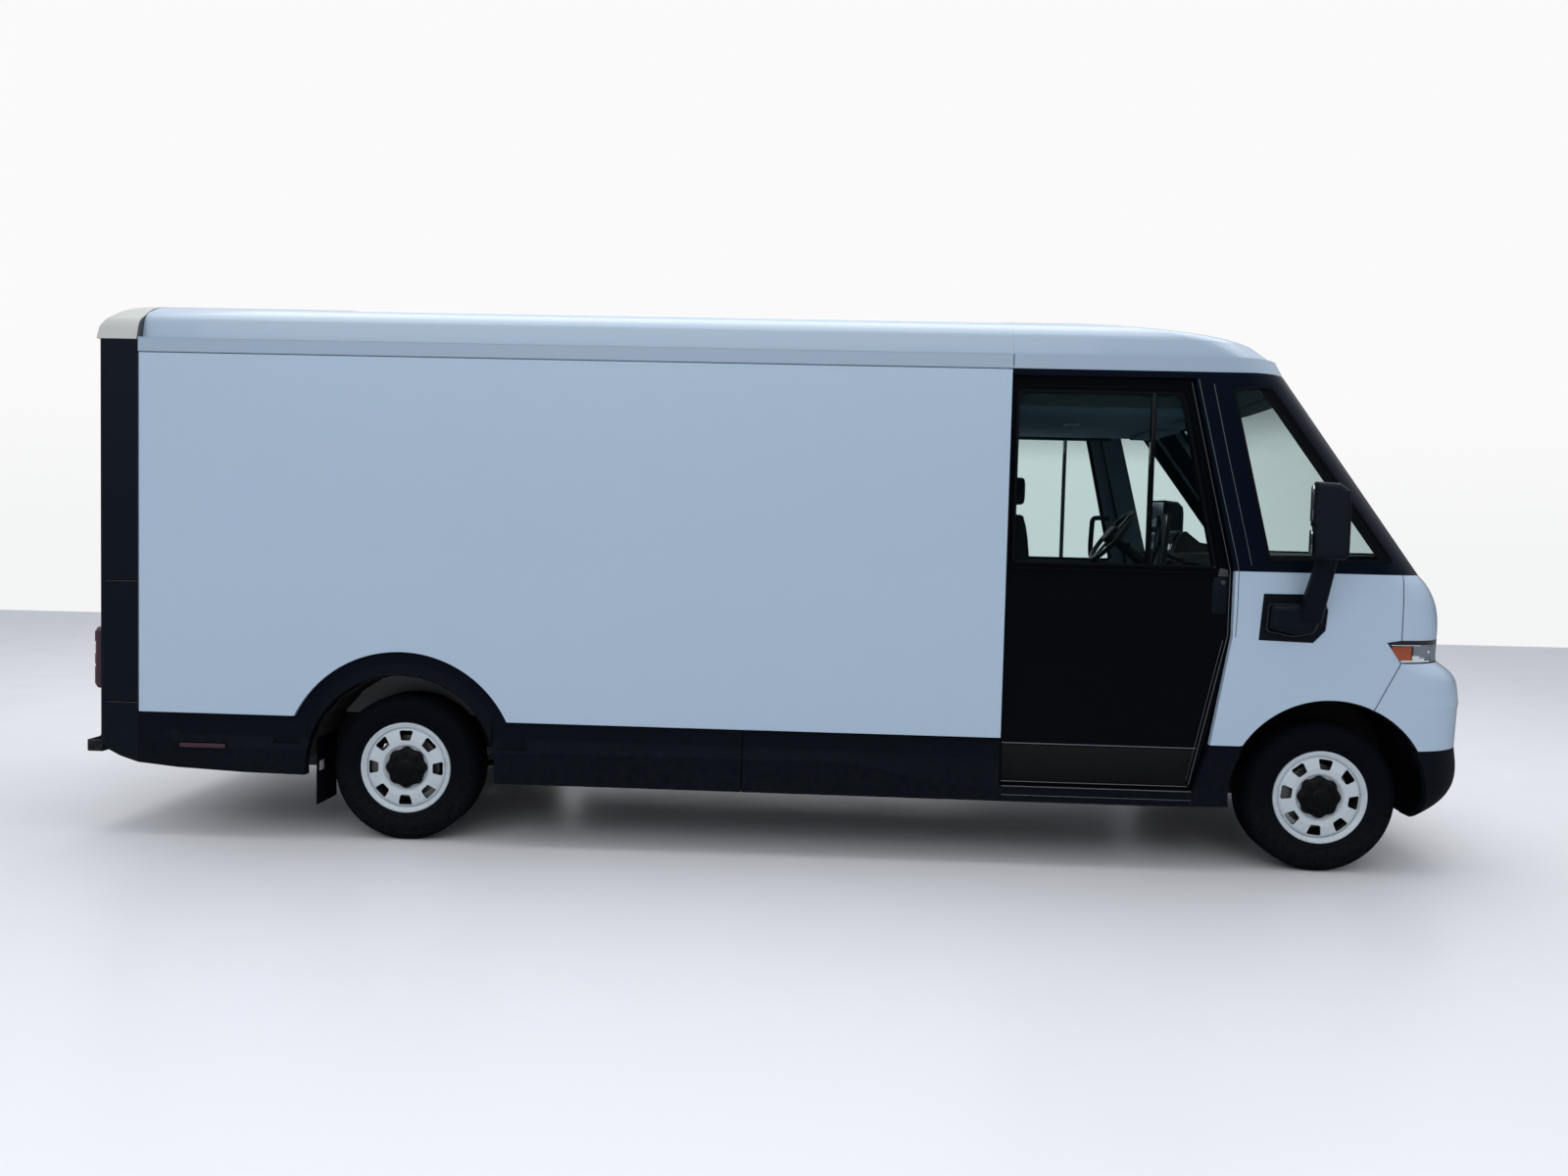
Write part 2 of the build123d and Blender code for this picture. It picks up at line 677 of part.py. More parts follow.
def bumper_lower():
    """Black lower bumper, from the wheel arches round the front."""
    shell = front_shell(low_bumper_levels, front_axle + 100, cab_skin)
    shell += skin & grille_cut() & block(front_axle + 300, front_axle + 900, -900, 900, bumper_split, 900)
    for cut in both(across_disc(front_axle, tyre_radius, arch_radius, -half_width - 5, -steer_inner_y + 20)):
        shell -= cut
    return shell


# ---- Doors -----------------------------------------------------------------------------------
window_low = 1520.0
window_high = 2378.0
window_bar_x = front_axle - 912.0
window_bar = 16.0
window_rear = front_axle - 1584.0
window_front = [(front_axle - 768, window_high), (front_axle - 578, window_low)]


def door_windows():
    """The two window outlines, either side of the glazing bar."""
    slope = (window_front[1][0] - window_front[0][0]) / (window_high - window_low)
    rear = [(window_rear, window_low), (window_bar_x - window_bar / 2, window_low),
            (window_bar_x - window_bar / 2, window_high), (window_rear, window_high)]
    front = [(window_bar_x + window_bar / 2, window_low), window_front[1], window_front[0],
             (window_bar_x + window_bar / 2, window_high)]
    return [rear, front]


def side_door():
    leaf = side_prism(door_outline(door_rear, door_lap), -door_outer_y, -door_inner_y)
    for outline in door_windows():
        leaf -= side_prism(outline, -half_width, -door_inner_y + 5)
    return leaf


def door_glass():
    panes = []
    for outline in door_windows():
        outer = -door_outer_y + glass_inset
        panes.append(side_prism(outline, outer, outer + glass_thick))
    return panes


# ---- Mirrors and wipers ----------------------------------------------------------------------
frame = cab_frame()
mirror_out = 1309.0
mirror_low, mirror_high = 1578.0, 1945.0
mirror_back, mirror_nose = front_axle - 222.0, front_axle - 60.0
mirror_wide = 215.0
mirror_turn = 20.0           # degrees that each head's glass is turned towards the driver
base_outline = [(front_axle - 355, 1400), (front_axle - 372, 1170), (front_axle - 105, 1163),
                (front_axle - 48, 1225), (front_axle - 40, 1330), (front_axle - 90, 1402)]
base_deep = 16.0


def mirrors():
    """Door mirrors: sunk base plate, cranked arm and tall head."""
    plate = side_prism(base_outline, -half_width + base_deep / 2, -half_width + base_deep)
    foot = side_prism([(front_axle - 325, 1345), (front_axle - 330, 1230), (front_axle - 200, 1205),
                       (front_axle - 115, 1225), (front_axle - 60, 1350)], -half_width - 55,
                      -half_width + base_deep / 2)
    foot = fillet(foot.edges().group_by(Axis.Y)[0], 24)
    outer = mirror_out - 40
    stem = loft([Plane(origin=(front_axle - 140, -half_width - 30, 1290), z_dir=(0.25, -0.55, 0.8)) *
                 RectangleRounded(70, 120, 25),
                 Plane(origin=(front_axle - 128, -outer, mirror_low + 12), z_dir=(0.1, -0.3, 0.95)) *
                 RectangleRounded(64, 92, 25)])
    head = side_prism([(mirror_back + 8, mirror_high - 4), (mirror_nose - 50, mirror_high - 12),
                       (mirror_nose - 8, mirror_high - 45), (mirror_nose, mirror_high - 90),
                       (mirror_nose, mirror_low + 20), (mirror_nose - 22, mirror_low),
                       (mirror_back + 12, mirror_low),
                       (mirror_back + 8, mirror_low + 150), (mirror_back, mirror_low + 165)],
                      -mirror_out - mirror_wide / 2, -mirror_out + mirror_wide / 2)
    head = fillet(head.edges().group_by(Axis.Y)[0] + head.edges().group_by(Axis.Y)[-1], 22)
    post = Axis(((mirror_back + mirror_nose) / 2, -mirror_out, 0), (0, 0, 1))
    head = head.rotate(post, -mirror_turn)
    return Compound(children=both(plate + foot + stem + head))


wiper_pivots = (-600.0, 230.0)
wiper_reach = 540.0


def wipers():
    """Two parked wiper arms, their pivots on the cowl below the glass."""
    rise, run = panel_top - belt_height, windshield_foot - windshield_head
    edge_y = half_width - 290 + 290 * sin(front_bow)
    bow_radius = edge_y / sin(front_bow)
    up_glass = Vector(-run, 0, rise).normalized()
    height = screen_low - 18
    arms = []
    for y in wiper_pivots:
        sag, tip_sag = (bow_radius - (bow_radius ** 2 - at ** 2) ** 0.5 for at in (y, y + wiper_reach))
        pivot = Vector(front_axle + windshield_foot - (height - belt_height) * run / rise - sag, y, height)
        along = Vector(sag - tip_sag, wiper_reach, 0).normalized()
        arm = Pos(wiper_reach / 2 - 15, 0, 30) * Box(wiper_reach + 30, 16, 12) + Pos(0, 0, 13) * Cylinder(17, 46)
        arms.append(Plane(origin=pivot, x_dir=along, z_dir=along.cross(up_glass)) * arm - frame)
    return Compound(children=arms)


# ---- Cab inside ------------------------------------------------------------------------------
def cab_room(inset):
    """The cab's inner space above the belt, used to trim what stands in it."""
    return front_body(glass_levels, roof_seam, pillar_depth + inset, ruled=True)


driver_y = 480.0
wheel_centre = Vector(front_axle - 710, driver_y, 1680)
column_tilt = 51.0
steering_radius = 205.0


def dashboard():
    outline = [(front_axle - 431, 1180), (front_axle - 471, 1430), (front_axle - 401, 1585),
               (front_axle + 350, 1600), (front_axle + 350, 1560), (firewall_x, 1480),
               (firewall_x, 1180)]
    dash = side_prism(outline, -940, 940)
    hump = side_prism([(front_axle - 400, 1575), (front_axle - 352, 1700), (front_axle - 322, 1716),
                       (front_axle - 238, 1650), (front_axle - 122, 1634), (front_axle - 95, 1580)],
                      driver_y - 230, driver_y + 230)
    dash += hump
    low = block(front_axle - 600, firewall_x, -940, 940, 1100, belt_height)
    return (dash & cab_room(12)) + (dash & low)


def steering_axis_plane(along):
    """A plane square to the steering column, a distance along it from the wheel towards the dash."""
    direction = Vector(sin(radians(column_tilt)), 0, -cos(radians(column_tilt)))
    return Plane(origin=wheel_centre + direction * along, z_dir=direction)


def steering_column():
    shaft = extrude(steering_axis_plane(25 + seat_gap) * Circle(36), amount=380)
    return shaft - dash


dash = dashboard()


def steering_wheel():
    plane = steering_axis_plane(0)
    rim = plane * Torus(steering_radius - 15, 15)
    hub = plane * Cylinder(62, 50)
    spokes = plane * Box(2 * steering_radius - 40, 36, 14)
    spokes += plane * Pos(-(steering_radius - 20) / 2, 0, 0) * Box(steering_radius - 20, 36, 14)
    return rim + hub + spokes


seat_rear = front_axle - 1335.0
seat_half = 245.0
cushion_low = 1060.0
cushion_high = 1190.0


def seat_base():
    return block(seat_rear + 34, seat_rear + 500, driver_y - 190, driver_y + 190, cab_floor_top, cushion_low)


def seat_cushion():
    pad = block(seat_rear + 40, seat_rear + 560, driver_y - seat_half, driver_y + seat_half,
                cushion_low + seat_gap, cushion_high)
    return fillet(pad.edges(), 35)


def seat_back():
    hinge_x = seat_rear + 34 - seat_gap
    shape = side_prism([(hinge_x, 1000), (hinge_x, 1195), (seat_rear + 130, 1195),
                        (seat_rear + 30, 1815), (seat_rear - 70, 1815), (seat_rear - 60, 1000)],
                       driver_y - seat_half + 10, driver_y + seat_half - 10)
    head = block(seat_rear - 40, seat_rear + 50, driver_y - 140, driver_y + 140, 1850, 2035)
    head = fillet(head.edges(), 30)
    for y in (driver_y - 60, driver_y + 60):
        shape += Pos(seat_rear, y, 1835) * Cylinder(8, 60)
        head += Pos(seat_rear, y, 1835) * Cylinder(8, 60)
    return shape + head


walk_half = 330.0
walk_high = 2300.0


def bulkhead():
    wall = block(bulkhead_rear, bulkhead_rear + bulkhead_thick, -inner_wall_y + inner_wall_thick,
                 inner_wall_y - inner_wall_thick, load_floor_top, panel_top - 38)
    wall += block(bulkhead_rear, bulkhead_rear + bulkhead_thick, -inner_wall_y + inner_wall_thick,
                  inner_wall_y - inner_wall_thick, cab_floor_top, load_floor_top)
    top = roof_bar(bulkhead_rear, bulkhead_rear + bulkhead_thick, roof_wall, panel_top - 38)
    wall += top & block(bulkhead_rear - 5, bulkhead_rear + bulkhead_thick + 5,
                        -inner_wall_y + inner_wall_thick, inner_wall_y - inner_wall_thick,
                        panel_top - 48, body_height)
    wall -= block(bulkhead_rear - 5, bulkhead_rear + bulkhead_thick + 5, -walk_half, walk_half,
                  load_floor_top + 20, walk_high)
    rail = block(bulkhead_rear - 45, bulkhead_rear, -walk_half - 20, walk_half + 620,
                 walk_high + 20 + seat_gap, walk_high + 60)
    return wall + rail


def bulkhead_door():
    leaf = block(bulkhead_rear - 32, bulkhead_rear - 7, -walk_half - 15, walk_half + 15,
                 load_floor_top + 8, walk_high + 20)
    return leaf


# ---- Running gear ----------------------------------------------------------------------------
spindle_radius = 38.0
spindle_end_y = wheel_mid_y + 78
rim_radius = 216.0           # bead seat
rim_flange = 232.0
wheel_windows = 8
front_rest_turn = 7.0        # how far the front wheels stand turned from the rear ones


def wheel_profile():
    """Half section of a steel wheel: (radius, distance out from the tyre's mid plane)."""
    return [(62, 88), (spindle_radius + running_gap, 88), (spindle_radius + running_gap, 35),
            (75, 35), (75, 62), (112, 68), (126, 86), (150, 94), (182, 89), (193, 82), (199, 66),
            (rim_radius - 14, 40),
            (rim_radius - 14, -86), (rim_radius - 4, -98), (rim_flange - 8, -104), (rim_flange, -104),
            (rim_flange, -96), (rim_radius + 2, -90), (rim_radius + 2, 90), (rim_flange, 96),
            (rim_flange, 104), (rim_flange - 8, 104), (rim_radius - 6, 92), (207, 80), (199, 92), (189, 99),
            (150, 105), (121, 98), (105, 80), (90, 78), (76, 88)]


def wheel_rim(x, side, rest_turn):
    """One wheel at its axle; side is -1 on the right and +1 on the left."""
    outline = Polyline(*[(radius, out) for radius, out in wheel_profile()], close=True)
    half = Plane.XY * make_face(outline)
    rim = revolve(half, axis=Axis.Y, revolution_arc=360)
    window = Plane.XZ * Polygon((142, -24), (193, -37), (193, 37), (142, 24), align=None)
    cutter = fillet(extrude(window, amount=60, both=True).edges().filter_by(Axis.Y), 9)
    cutter = Pos(0, 90, 0) * cutter
    for turn in range(wheel_windows):
        rim -= Rot(0, rest_turn + 360 / wheel_windows * turn, 0) * cutter
    place = Pos(x, side * wheel_mid_y, tyre_radius)
    return place * (rim if side > 0 else mirror(rim, about=Plane.XZ))


def tyre(x, side):
    """Tyre section: flat tread, round shoulders, full sidewalls, beads on the rim."""
    w, r = tyre_width / 2, tyre_radius
    bead = rim_radius + 2.5
    points = [(bead, -86), (rim_flange + 3, -95), (rim_flange + 40, -w + 4), (300, -w), (r - 38, -w + 6),
              (r - 10, -w + 20), (r - 2, -w + 42), (r, -40), (r, 40), (r - 2, w - 42), (r - 10, w - 20),
              (r - 38, w - 6), (300, w), (rim_flange + 40, w - 4), (rim_flange + 3, 95), (bead, 86),
              (bead + 26, 78), (r - 40, 92), (r - 16, 80), (r - 16, -80), (r - 40, -92), (bead + 26, -78)]
    outline = Polyline(*points, close=True)
    ring = revolve(Plane.XY * make_face(outline), axis=Axis.Y, revolution_arc=360)
    return Pos(x, side * wheel_mid_y, tyre_radius) * ring


def rear_axle_beam():
    beam = across_disc(rear_axle, tyre_radius, 45, -wheel_mid_y + 40, wheel_mid_y - 40)
    spindle = across_disc(rear_axle, tyre_radius, spindle_radius, -spindle_end_y, spindle_end_y)
    pads = both(block(rear_axle - 60, rear_axle + 60, -680, -600, tyre_radius - 60, tyre_radius - 20))
    beam += spindle
    for pad in pads:
        beam += pad
    return beam


def rear_springs():
    """A leaf pack under each rail's outrigger, from hanger to hanger."""
    reach = 620.0
    low = tyre_radius - 75
    leaf = side_prism([(rear_axle - reach, 455), (rear_axle - 300, low + 45), (rear_axle - 60, low - 15),
                       (rear_axle + 60, low - 15), (rear_axle + 300, low + 45), (rear_axle + reach, 455),
                       (rear_axle + reach, 470), (rear_axle + 300, low + 75), (rear_axle + 60, low + 15),
                       (rear_axle - 60, low + 15), (rear_axle - 300, low + 75), (rear_axle - reach, 470)],
                      -675, -605)
    for x in (rear_axle - reach, rear_axle + reach):
        leaf += block(x - 25, x + 25, -680, -600, 440, frame_high)
        leaf += block(x - 25, x + 25, -600, -rail_y - rail_wide, frame_low + 20, frame_high - 20)
    return Compound(children=both(leaf))


def drive_units():
    rear = block(rear_axle + 110, rear_axle + 480, -300, 300, 300, frame_low)
    rear = fillet(rear.edges().filter_by(Axis.Y), 60)
    rear += block(rear_axle + 260, rear_axle + 330, -rail_y - rail_wide, rail_y + rail_wide,
                  frame_low - 24, frame_low)
    front = block(front_axle - 190, front_axle + 260, -325, 325, 345, frame_high - 20)
    front = fillet(front.edges().filter_by(Axis.Y), 70)
    front += block(front_axle - 30, front_axle + 40, -400, 400, cradle_high, cradle_high + 40)
    return Compound(children=[rear, front])


cradle_high = 340.0
knuckle_low = tyre_radius - 88
knuckle_high = tyre_radius + 100


def front_subframe():
    cradle = block(front_axle - 380, front_axle + 340, -430, 430, 262, cradle_high)
    cradle -= block(front_axle - 240, front_axle + 280, -330, 330, 250, 350)
    for x in (front_axle - 380, front_axle + 270):
        for post in both(block(x, x + 70, -rail_y - rail_wide + 5, -rail_y - 5, 330, frame_low)):
            cradle += post
    lower = block(front_axle - 38, front_axle + 38, -wheel_mid_y - 25, -400, knuckle_low - 28, knuckle_low)
    tower = block(front_axle - 60, front_axle + 60, -470, -425, 262, frame_low)
    upper = block(front_axle - 34, front_axle + 34, -wheel_mid_y - 25, -430, knuckle_high, knuckle_high + 24)
    for arm in both(lower) + both(tower) + both(upper):
        cradle += arm
    return cradle


def knuckle(side):
    height = knuckle_high - knuckle_low - 2 * seat_gap
    post = Pos(front_axle, side * wheel_mid_y, (knuckle_low + knuckle_high) / 2) * Cylinder(28, height)
    spindle = across_disc(front_axle, tyre_radius, spindle_radius, side * (wheel_mid_y - 20),
                          side * spindle_end_y)
    arm = block(front_axle - 130, front_axle, side * (wheel_mid_y - 20), side * (wheel_mid_y - 45),
                tyre_radius - 30, tyre_radius + 10)
    arm += block(front_axle - 40, front_axle + 20, side * (wheel_mid_y - 45), side * wheel_mid_y,
                 tyre_radius - 30, tyre_radius + 10)
    return post + spindle + arm


# ---- Write every piece -----------------------------------------------------------------------
cargo_right = cargo_side()
cladding_right = cladding()
fender_right = fender()
door_right = side_door()
panes_right = door_glass()

pieces = {
    "chassis_frame": chassis_frame(),
    "battery_pack": battery_pack(),
    "load_floor": load_floor(),
    "cab_floor": cab_floor(),
    "cargo_side_right": cargo_right,
    "cargo_side_left": left_of(cargo_right),
    "door_pockets": door_pockets(),
    "cladding_right": cladding_right,
    "cladding_left": left_of(cladding_right),
    "roof_cargo": roof_cargo(),
    "roof_cab": roof_cab(),
    "rear_portal": rear_portal(),
    "rear_cap": rear_cap(),
    "rear_door": rear_door(),
    "rear_step": rear_step(),
    "tail_lamps": tail_lamps(),
    "mud_flaps": mud_flaps(),
    "cab_frame": frame,
    "windshield": windshield(),
    "quarter_glass": quarter_glass(),
    "fender_right": fender_right,
    "fender_left": left_of(fender_right),
    "nose_panel": nose_panel(),
    "hood": hood(),
    "headlamps": headlamps(),
    "front_band": front_band(),
    "bumper_upper": bumper_upper(),
    "bumper_lower": bumper_lower(),
    "side_door_right": door_right,
    "side_door_left": left_of(door_right),
    "door_glass_right": Compound(children=panes_right),
    "door_glass_left": Compound(children=[left_of(pane) for pane in panes_right]),
    "mirrors": mirrors(),
    "wipers": wipers(),
    "dashboard": dash,
    "steering_column": steering_column(),
    "steering_wheel": steering_wheel(),
    "seat_base": seat_base(),
    "seat_cushion": seat_cushion(),
    "seat_back": seat_back(),
    "bulkhead": bulkhead(),
    "bulkhead_door": bulkhead_door(),
    "rear_axle": rear_axle_beam(),
    "rear_springs": rear_springs(),
    "drive_units": drive_units(),
    "front_subframe": front_subframe(),
    "knuckle_right": knuckle(-1),
    "knuckle_left": knuckle(1),
}
for place, x, rest_turn in (("front", front_axle, front_rest_turn), ("rear", rear_axle, 0.0)):
    for name, side in (("right", -1), ("left", 1)):
        pieces[f"rim_{place}_{name}"] = wheel_rim(x, side, rest_turn)
        pieces[f"tyre_{place}_{name}"] = tyre(x, side)

os.makedirs("parts", exist_ok=True)
for name, shape in pieces.items():
    export_step(shape, f"parts/{name}.step")
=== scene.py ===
"""Finishes and detail pieces of an electric cargo van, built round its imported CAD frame."""

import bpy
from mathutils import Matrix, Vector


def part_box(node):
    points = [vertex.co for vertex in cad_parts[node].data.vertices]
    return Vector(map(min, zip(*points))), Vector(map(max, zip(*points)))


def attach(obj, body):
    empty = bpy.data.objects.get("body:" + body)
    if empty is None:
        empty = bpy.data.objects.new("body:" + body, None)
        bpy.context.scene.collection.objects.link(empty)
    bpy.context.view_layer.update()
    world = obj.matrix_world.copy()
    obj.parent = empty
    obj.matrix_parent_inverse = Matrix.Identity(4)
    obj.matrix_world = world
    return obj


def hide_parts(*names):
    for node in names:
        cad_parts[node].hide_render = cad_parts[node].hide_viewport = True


bl_info = {
    "name": "Electric Cargo Van Looks",
    "version": (1, 0, 0),
    "blender": (4, 5, 0),
    "location": "3D View > Sidebar > Van",
    "description": "Builds the finishes and detail pieces of an electric cargo van round its CAD frame",
    "category": "Object",
}

from math import atan2, cos, pi, radians, sin, tau

import bmesh
import bpy
from bpy.props import FloatProperty, FloatVectorProperty, IntProperty, PointerProperty
from mathutils import Matrix, Vector
from mathutils.bvhtree import BVHTree

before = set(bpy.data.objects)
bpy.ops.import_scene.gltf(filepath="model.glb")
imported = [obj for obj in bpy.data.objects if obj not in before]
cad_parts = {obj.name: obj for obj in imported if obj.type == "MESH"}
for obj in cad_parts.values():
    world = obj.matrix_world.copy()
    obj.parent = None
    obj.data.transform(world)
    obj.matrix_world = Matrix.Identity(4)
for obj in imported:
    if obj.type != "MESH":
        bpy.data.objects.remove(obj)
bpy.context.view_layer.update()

WHEELS = ("front_right", "front_left", "rear_right", "rear_left")


# ---- Sizes and colours a user would change ----------------------------------------------------
def colour_prop(name, description, default):
    return FloatVectorProperty(name=name, description=description, subtype="COLOR", size=3, min=0.0, max=1.0,
        default=default)


class VanFinishes(bpy.types.PropertyGroup):
    # the body is white; this colour is set darker and bluer, as its sides look in shade: painted shade
    paint: colour_prop("Paint", "Body paint", (0.45, 0.565, 0.69))
    cap: colour_prop("Cap", "Moulded cap over the rear portal", (0.53, 0.53, 0.50))
    gloss_black: colour_prop("Gloss black", "Doors and front band", (0.0018, 0.0020, 0.0032))
    satin_black: colour_prop("Satin black", "Rear portal and mirrors", (0.0035, 0.0065, 0.0120))
    cladding: colour_prop("Cladding", "Grained sill plastic", (0.0022, 0.0040, 0.0085))
    rubber: colour_prop("Rubber", "Tyres, seals and flaps", (0.0030, 0.0036, 0.0065))
    rim: colour_prop("Rim", "Painted steel wheels", (0.60, 0.66, 0.70))
    liner: colour_prop("Liner", "Load space lining", (0.45, 0.46, 0.46))
    seat_cloth: colour_prop("Seat cloth", "Seat covers", (0.030, 0.031, 0.035))
    amber: colour_prop("Amber", "Turn signal lenses", (0.34, 0.050, 0.003))
    red: colour_prop("Red", "Tail lamp lenses and reflectors", (0.050, 0.007, 0.017))
    glass: colour_prop("Glass", "Light let through the panes", (0.88, 0.93, 0.93))
    glass_density: FloatProperty(name="Glass density", description="How much haze a pane carries",
                                 subtype="FACTOR", min=0.0, max=1.0, default=0.03)


class VanSizes(bpy.types.PropertyGroup):
    tread_depth: FloatProperty(name="Tread depth", description="Depth of the tyre grooves",
                               unit="LENGTH", default=0.009)
    tread_blocks: IntProperty(name="Tread blocks", description="Blocks round each tyre", default=60)
    seal_width: FloatProperty(name="Seal width", description="Width of the window seals",
                              unit="LENGTH", default=0.014)
    # width of the bright lines that stand for the light caught on door and sill edges: painted highlights
    highlight_width: FloatProperty(name="Trim width", description="Width of the bright trim lines",
                              unit="LENGTH", default=0.0045)
    slat_count: IntProperty(name="Slats", description="Slats of the roll-up door", default=9)


# ---- Materials ---------------------------------------------------------------------------------
def feed(tree, node, inputs):
    """Links or sets a node's inputs, by name or number."""
    for key, value in inputs.items():
        socket = node.inputs[key if isinstance(key, int) else key.replace("_", " ")]
        if isinstance(value, bpy.types.NodeSocket):
            tree.links.new(value, socket)
        elif socket.type == "RGBA" and len(value) == 3:
            socket.default_value = (*value, 1.0)
        else:
            socket.default_value = value
    return node


def add(tree, kind, settings=None, **inputs):
    """A shader node; settings are its options and inputs its sockets, by name."""
    made = tree.nodes.new("ShaderNode" + kind)
    for key, value in (settings or {}).items():
        setattr(made, key, value)
    return feed(tree, made, inputs)


def maths(tree, operation, *values, clamp=False):
    made = add(tree, "Math", {"operation": operation, "use_clamp": clamp})
    return feed(tree, made, dict(enumerate(values))).outputs[0]


def mix_colour(tree, factor, first, second):
    return feed(tree, add(tree, "Mix", {"data_type": "RGBA"}), {0: factor, 6: first, 7: second}).outputs[2]


def smooth_step(tree, value, start, end, low=0.0, high=1.0):
    return add(tree, "MapRange", {"interpolation_type": "SMOOTHSTEP"}, Value=value, From_Min=start,
               From_Max=end, To_Min=low, To_Max=high).outputs[0]


def surface(name):
    """A new material with its tree, its shader and the place a texture is laid by."""
    material = bpy.data.materials.new(name)
    material.use_nodes = True
    tree = material.node_tree
    return material, tree, tree.nodes["Principled BSDF"], add(tree, "TexCoord").outputs["Object"]


DUST_COLOUR, DUST_ROUGHNESS = (0.2, 0.185, 0.165), 0.85


def scaled(colour, by):
    return tuple(min(1.0, channel * by) for channel in colour)


def finish(name, colour, roughness, tone=0.05, tone_size=1.2, grain=0.0, grain_size=500.0, rounding=0.0,
           metallic=0.0, coat=0.0, cells=False, rough_shift=0.06, dust=0.0, dust_top=0.9, specular=0.5, sheen=0.0):
    """A surface with slow tone changes, fine grain and, low on the van, a film of dust."""
    material, tree, shader, place = surface(name)
    slow = add(tree, "TexNoise", Vector=place, Scale=tone_size, Detail=4.0, Roughness=0.55).outputs["Fac"]
    base = mix_colour(tree, slow, scaled(colour, 1 - tone), scaled(colour, 1 + tone))
    fine = add(tree, "TexNoise", Vector=place, Scale=tone_size * 9, Detail=5.0, Roughness=0.6).outputs["Fac"]
    rough = add(tree, "MapRange", Value=fine, From_Min=0.3, From_Max=0.7,
                To_Min=max(0.0, roughness - rough_shift), To_Max=min(1.0, roughness + rough_shift)).outputs[0]
    if dust:
        height = add(tree, "SeparateXYZ", Vector=place).outputs["Z"]
        low = smooth_step(tree, height, dust_top, 0.15, 0.0, dust)
        spread = add(tree, "MapRange", Value=fine, From_Min=0.35, From_Max=0.75).outputs[0]
        film = maths(tree, "MULTIPLY", low, spread)
        base = mix_colour(tree, film, base, DUST_COLOUR)
        rough = feed(tree, add(tree, "Mix"), {0: film, 2: rough, 3: DUST_ROUGHNESS}).outputs[0]
    feed(tree, shader, dict(Base_Color=base, Roughness=rough, Metallic=metallic, Specular_IOR_Level=specular,
                            Coat_Weight=coat, Coat_Roughness=0.04, Sheen_Weight=sheen))
    normal = add(tree, "Bevel", {"samples": 4}, Radius=rounding).outputs[0] if rounding else None
    if grain:
        if cells:
            height = add(tree, "TexVoronoi", Vector=place, Scale=grain_size).outputs["Distance"]
        else:
            height = add(tree, "TexNoise", Vector=place, Scale=grain_size, Detail=2.0).outputs["Fac"]
        bump = add(tree, "Bump", Strength=0.6, Distance=grain, Height=height)
        if normal:
            feed(tree, bump, {"Normal": normal})
        normal = bump.outputs[0]
    if normal:
        feed(tree, shader, {"Normal": normal})
    return material


def pane_finish(name, tint, density):
    """Tinted glass: what is behind it is dimmed and coloured, and it mirrors more at a glancing angle."""
    material, tree, shader, place = surface(name)
    streak = add(tree, "TexNoise", Vector=place, Scale=3.0, Detail=4.0).outputs["Fac"]
    smear = add(tree, "MapRange", Value=streak, From_Min=0.35, From_Max=0.7, To_Min=0.015, To_Max=0.05)
    feed(tree, shader, dict(Base_Color=(0.012, 0.030, 0.036), Roughness=smear.outputs[0], Specular_IOR_Level=0.5))
    band = smooth_step(tree, add(tree, "SeparateXYZ", Vector=place).outputs["Z"], 2.14, 2.42, 0.0, 0.22)
    facing = add(tree, "LayerWeight", Blend=0.5).outputs["Facing"]
    edge = maths(tree, "MULTIPLY", maths(tree, "POWER", facing, 4.0), 0.55)
    share = maths(tree, "ADD", maths(tree, "ADD", edge, band), density, clamp=True)
    clear = add(tree, "BsdfTransparent", Color=tint)
    mixed = feed(tree, add(tree, "MixShader"), {0: share, 1: clear.outputs[0], 2: shader.outputs[0]})
    feed(tree, tree.nodes["Material Output"], {"Surface": mixed.outputs[0]})
    return material


def lens_finish(name, colour, glow=0.0, ribs=0.0, across="X"):
    """A moulded lamp lens with fine ribs under a smooth outer face."""
    material, tree, shader, place = surface(name)
    spots = add(tree, "TexNoise", Vector=place, Scale=25.0, Detail=3.0).outputs["Fac"]
    base = mix_colour(tree, spots, scaled(colour, 0.8), scaled(colour, 1.2))
    feed(tree, shader, dict(Base_Color=base, Roughness=0.12, Coat_Weight=0.5, Coat_Roughness=0.02))
    if glow:
        feed(tree, shader, dict(Emission_Color=base, Emission_Strength=glow))
    if ribs:
        wave = add(tree, "TexWave", {"bands_direction": across}, Vector=place, Scale=ribs).outputs["Fac"]
        feed(tree, shader, {"Normal": add(tree, "Bump", Strength=0.7, Distance=0.002, Height=wave).outputs[0]})
    return material


finishes = {}


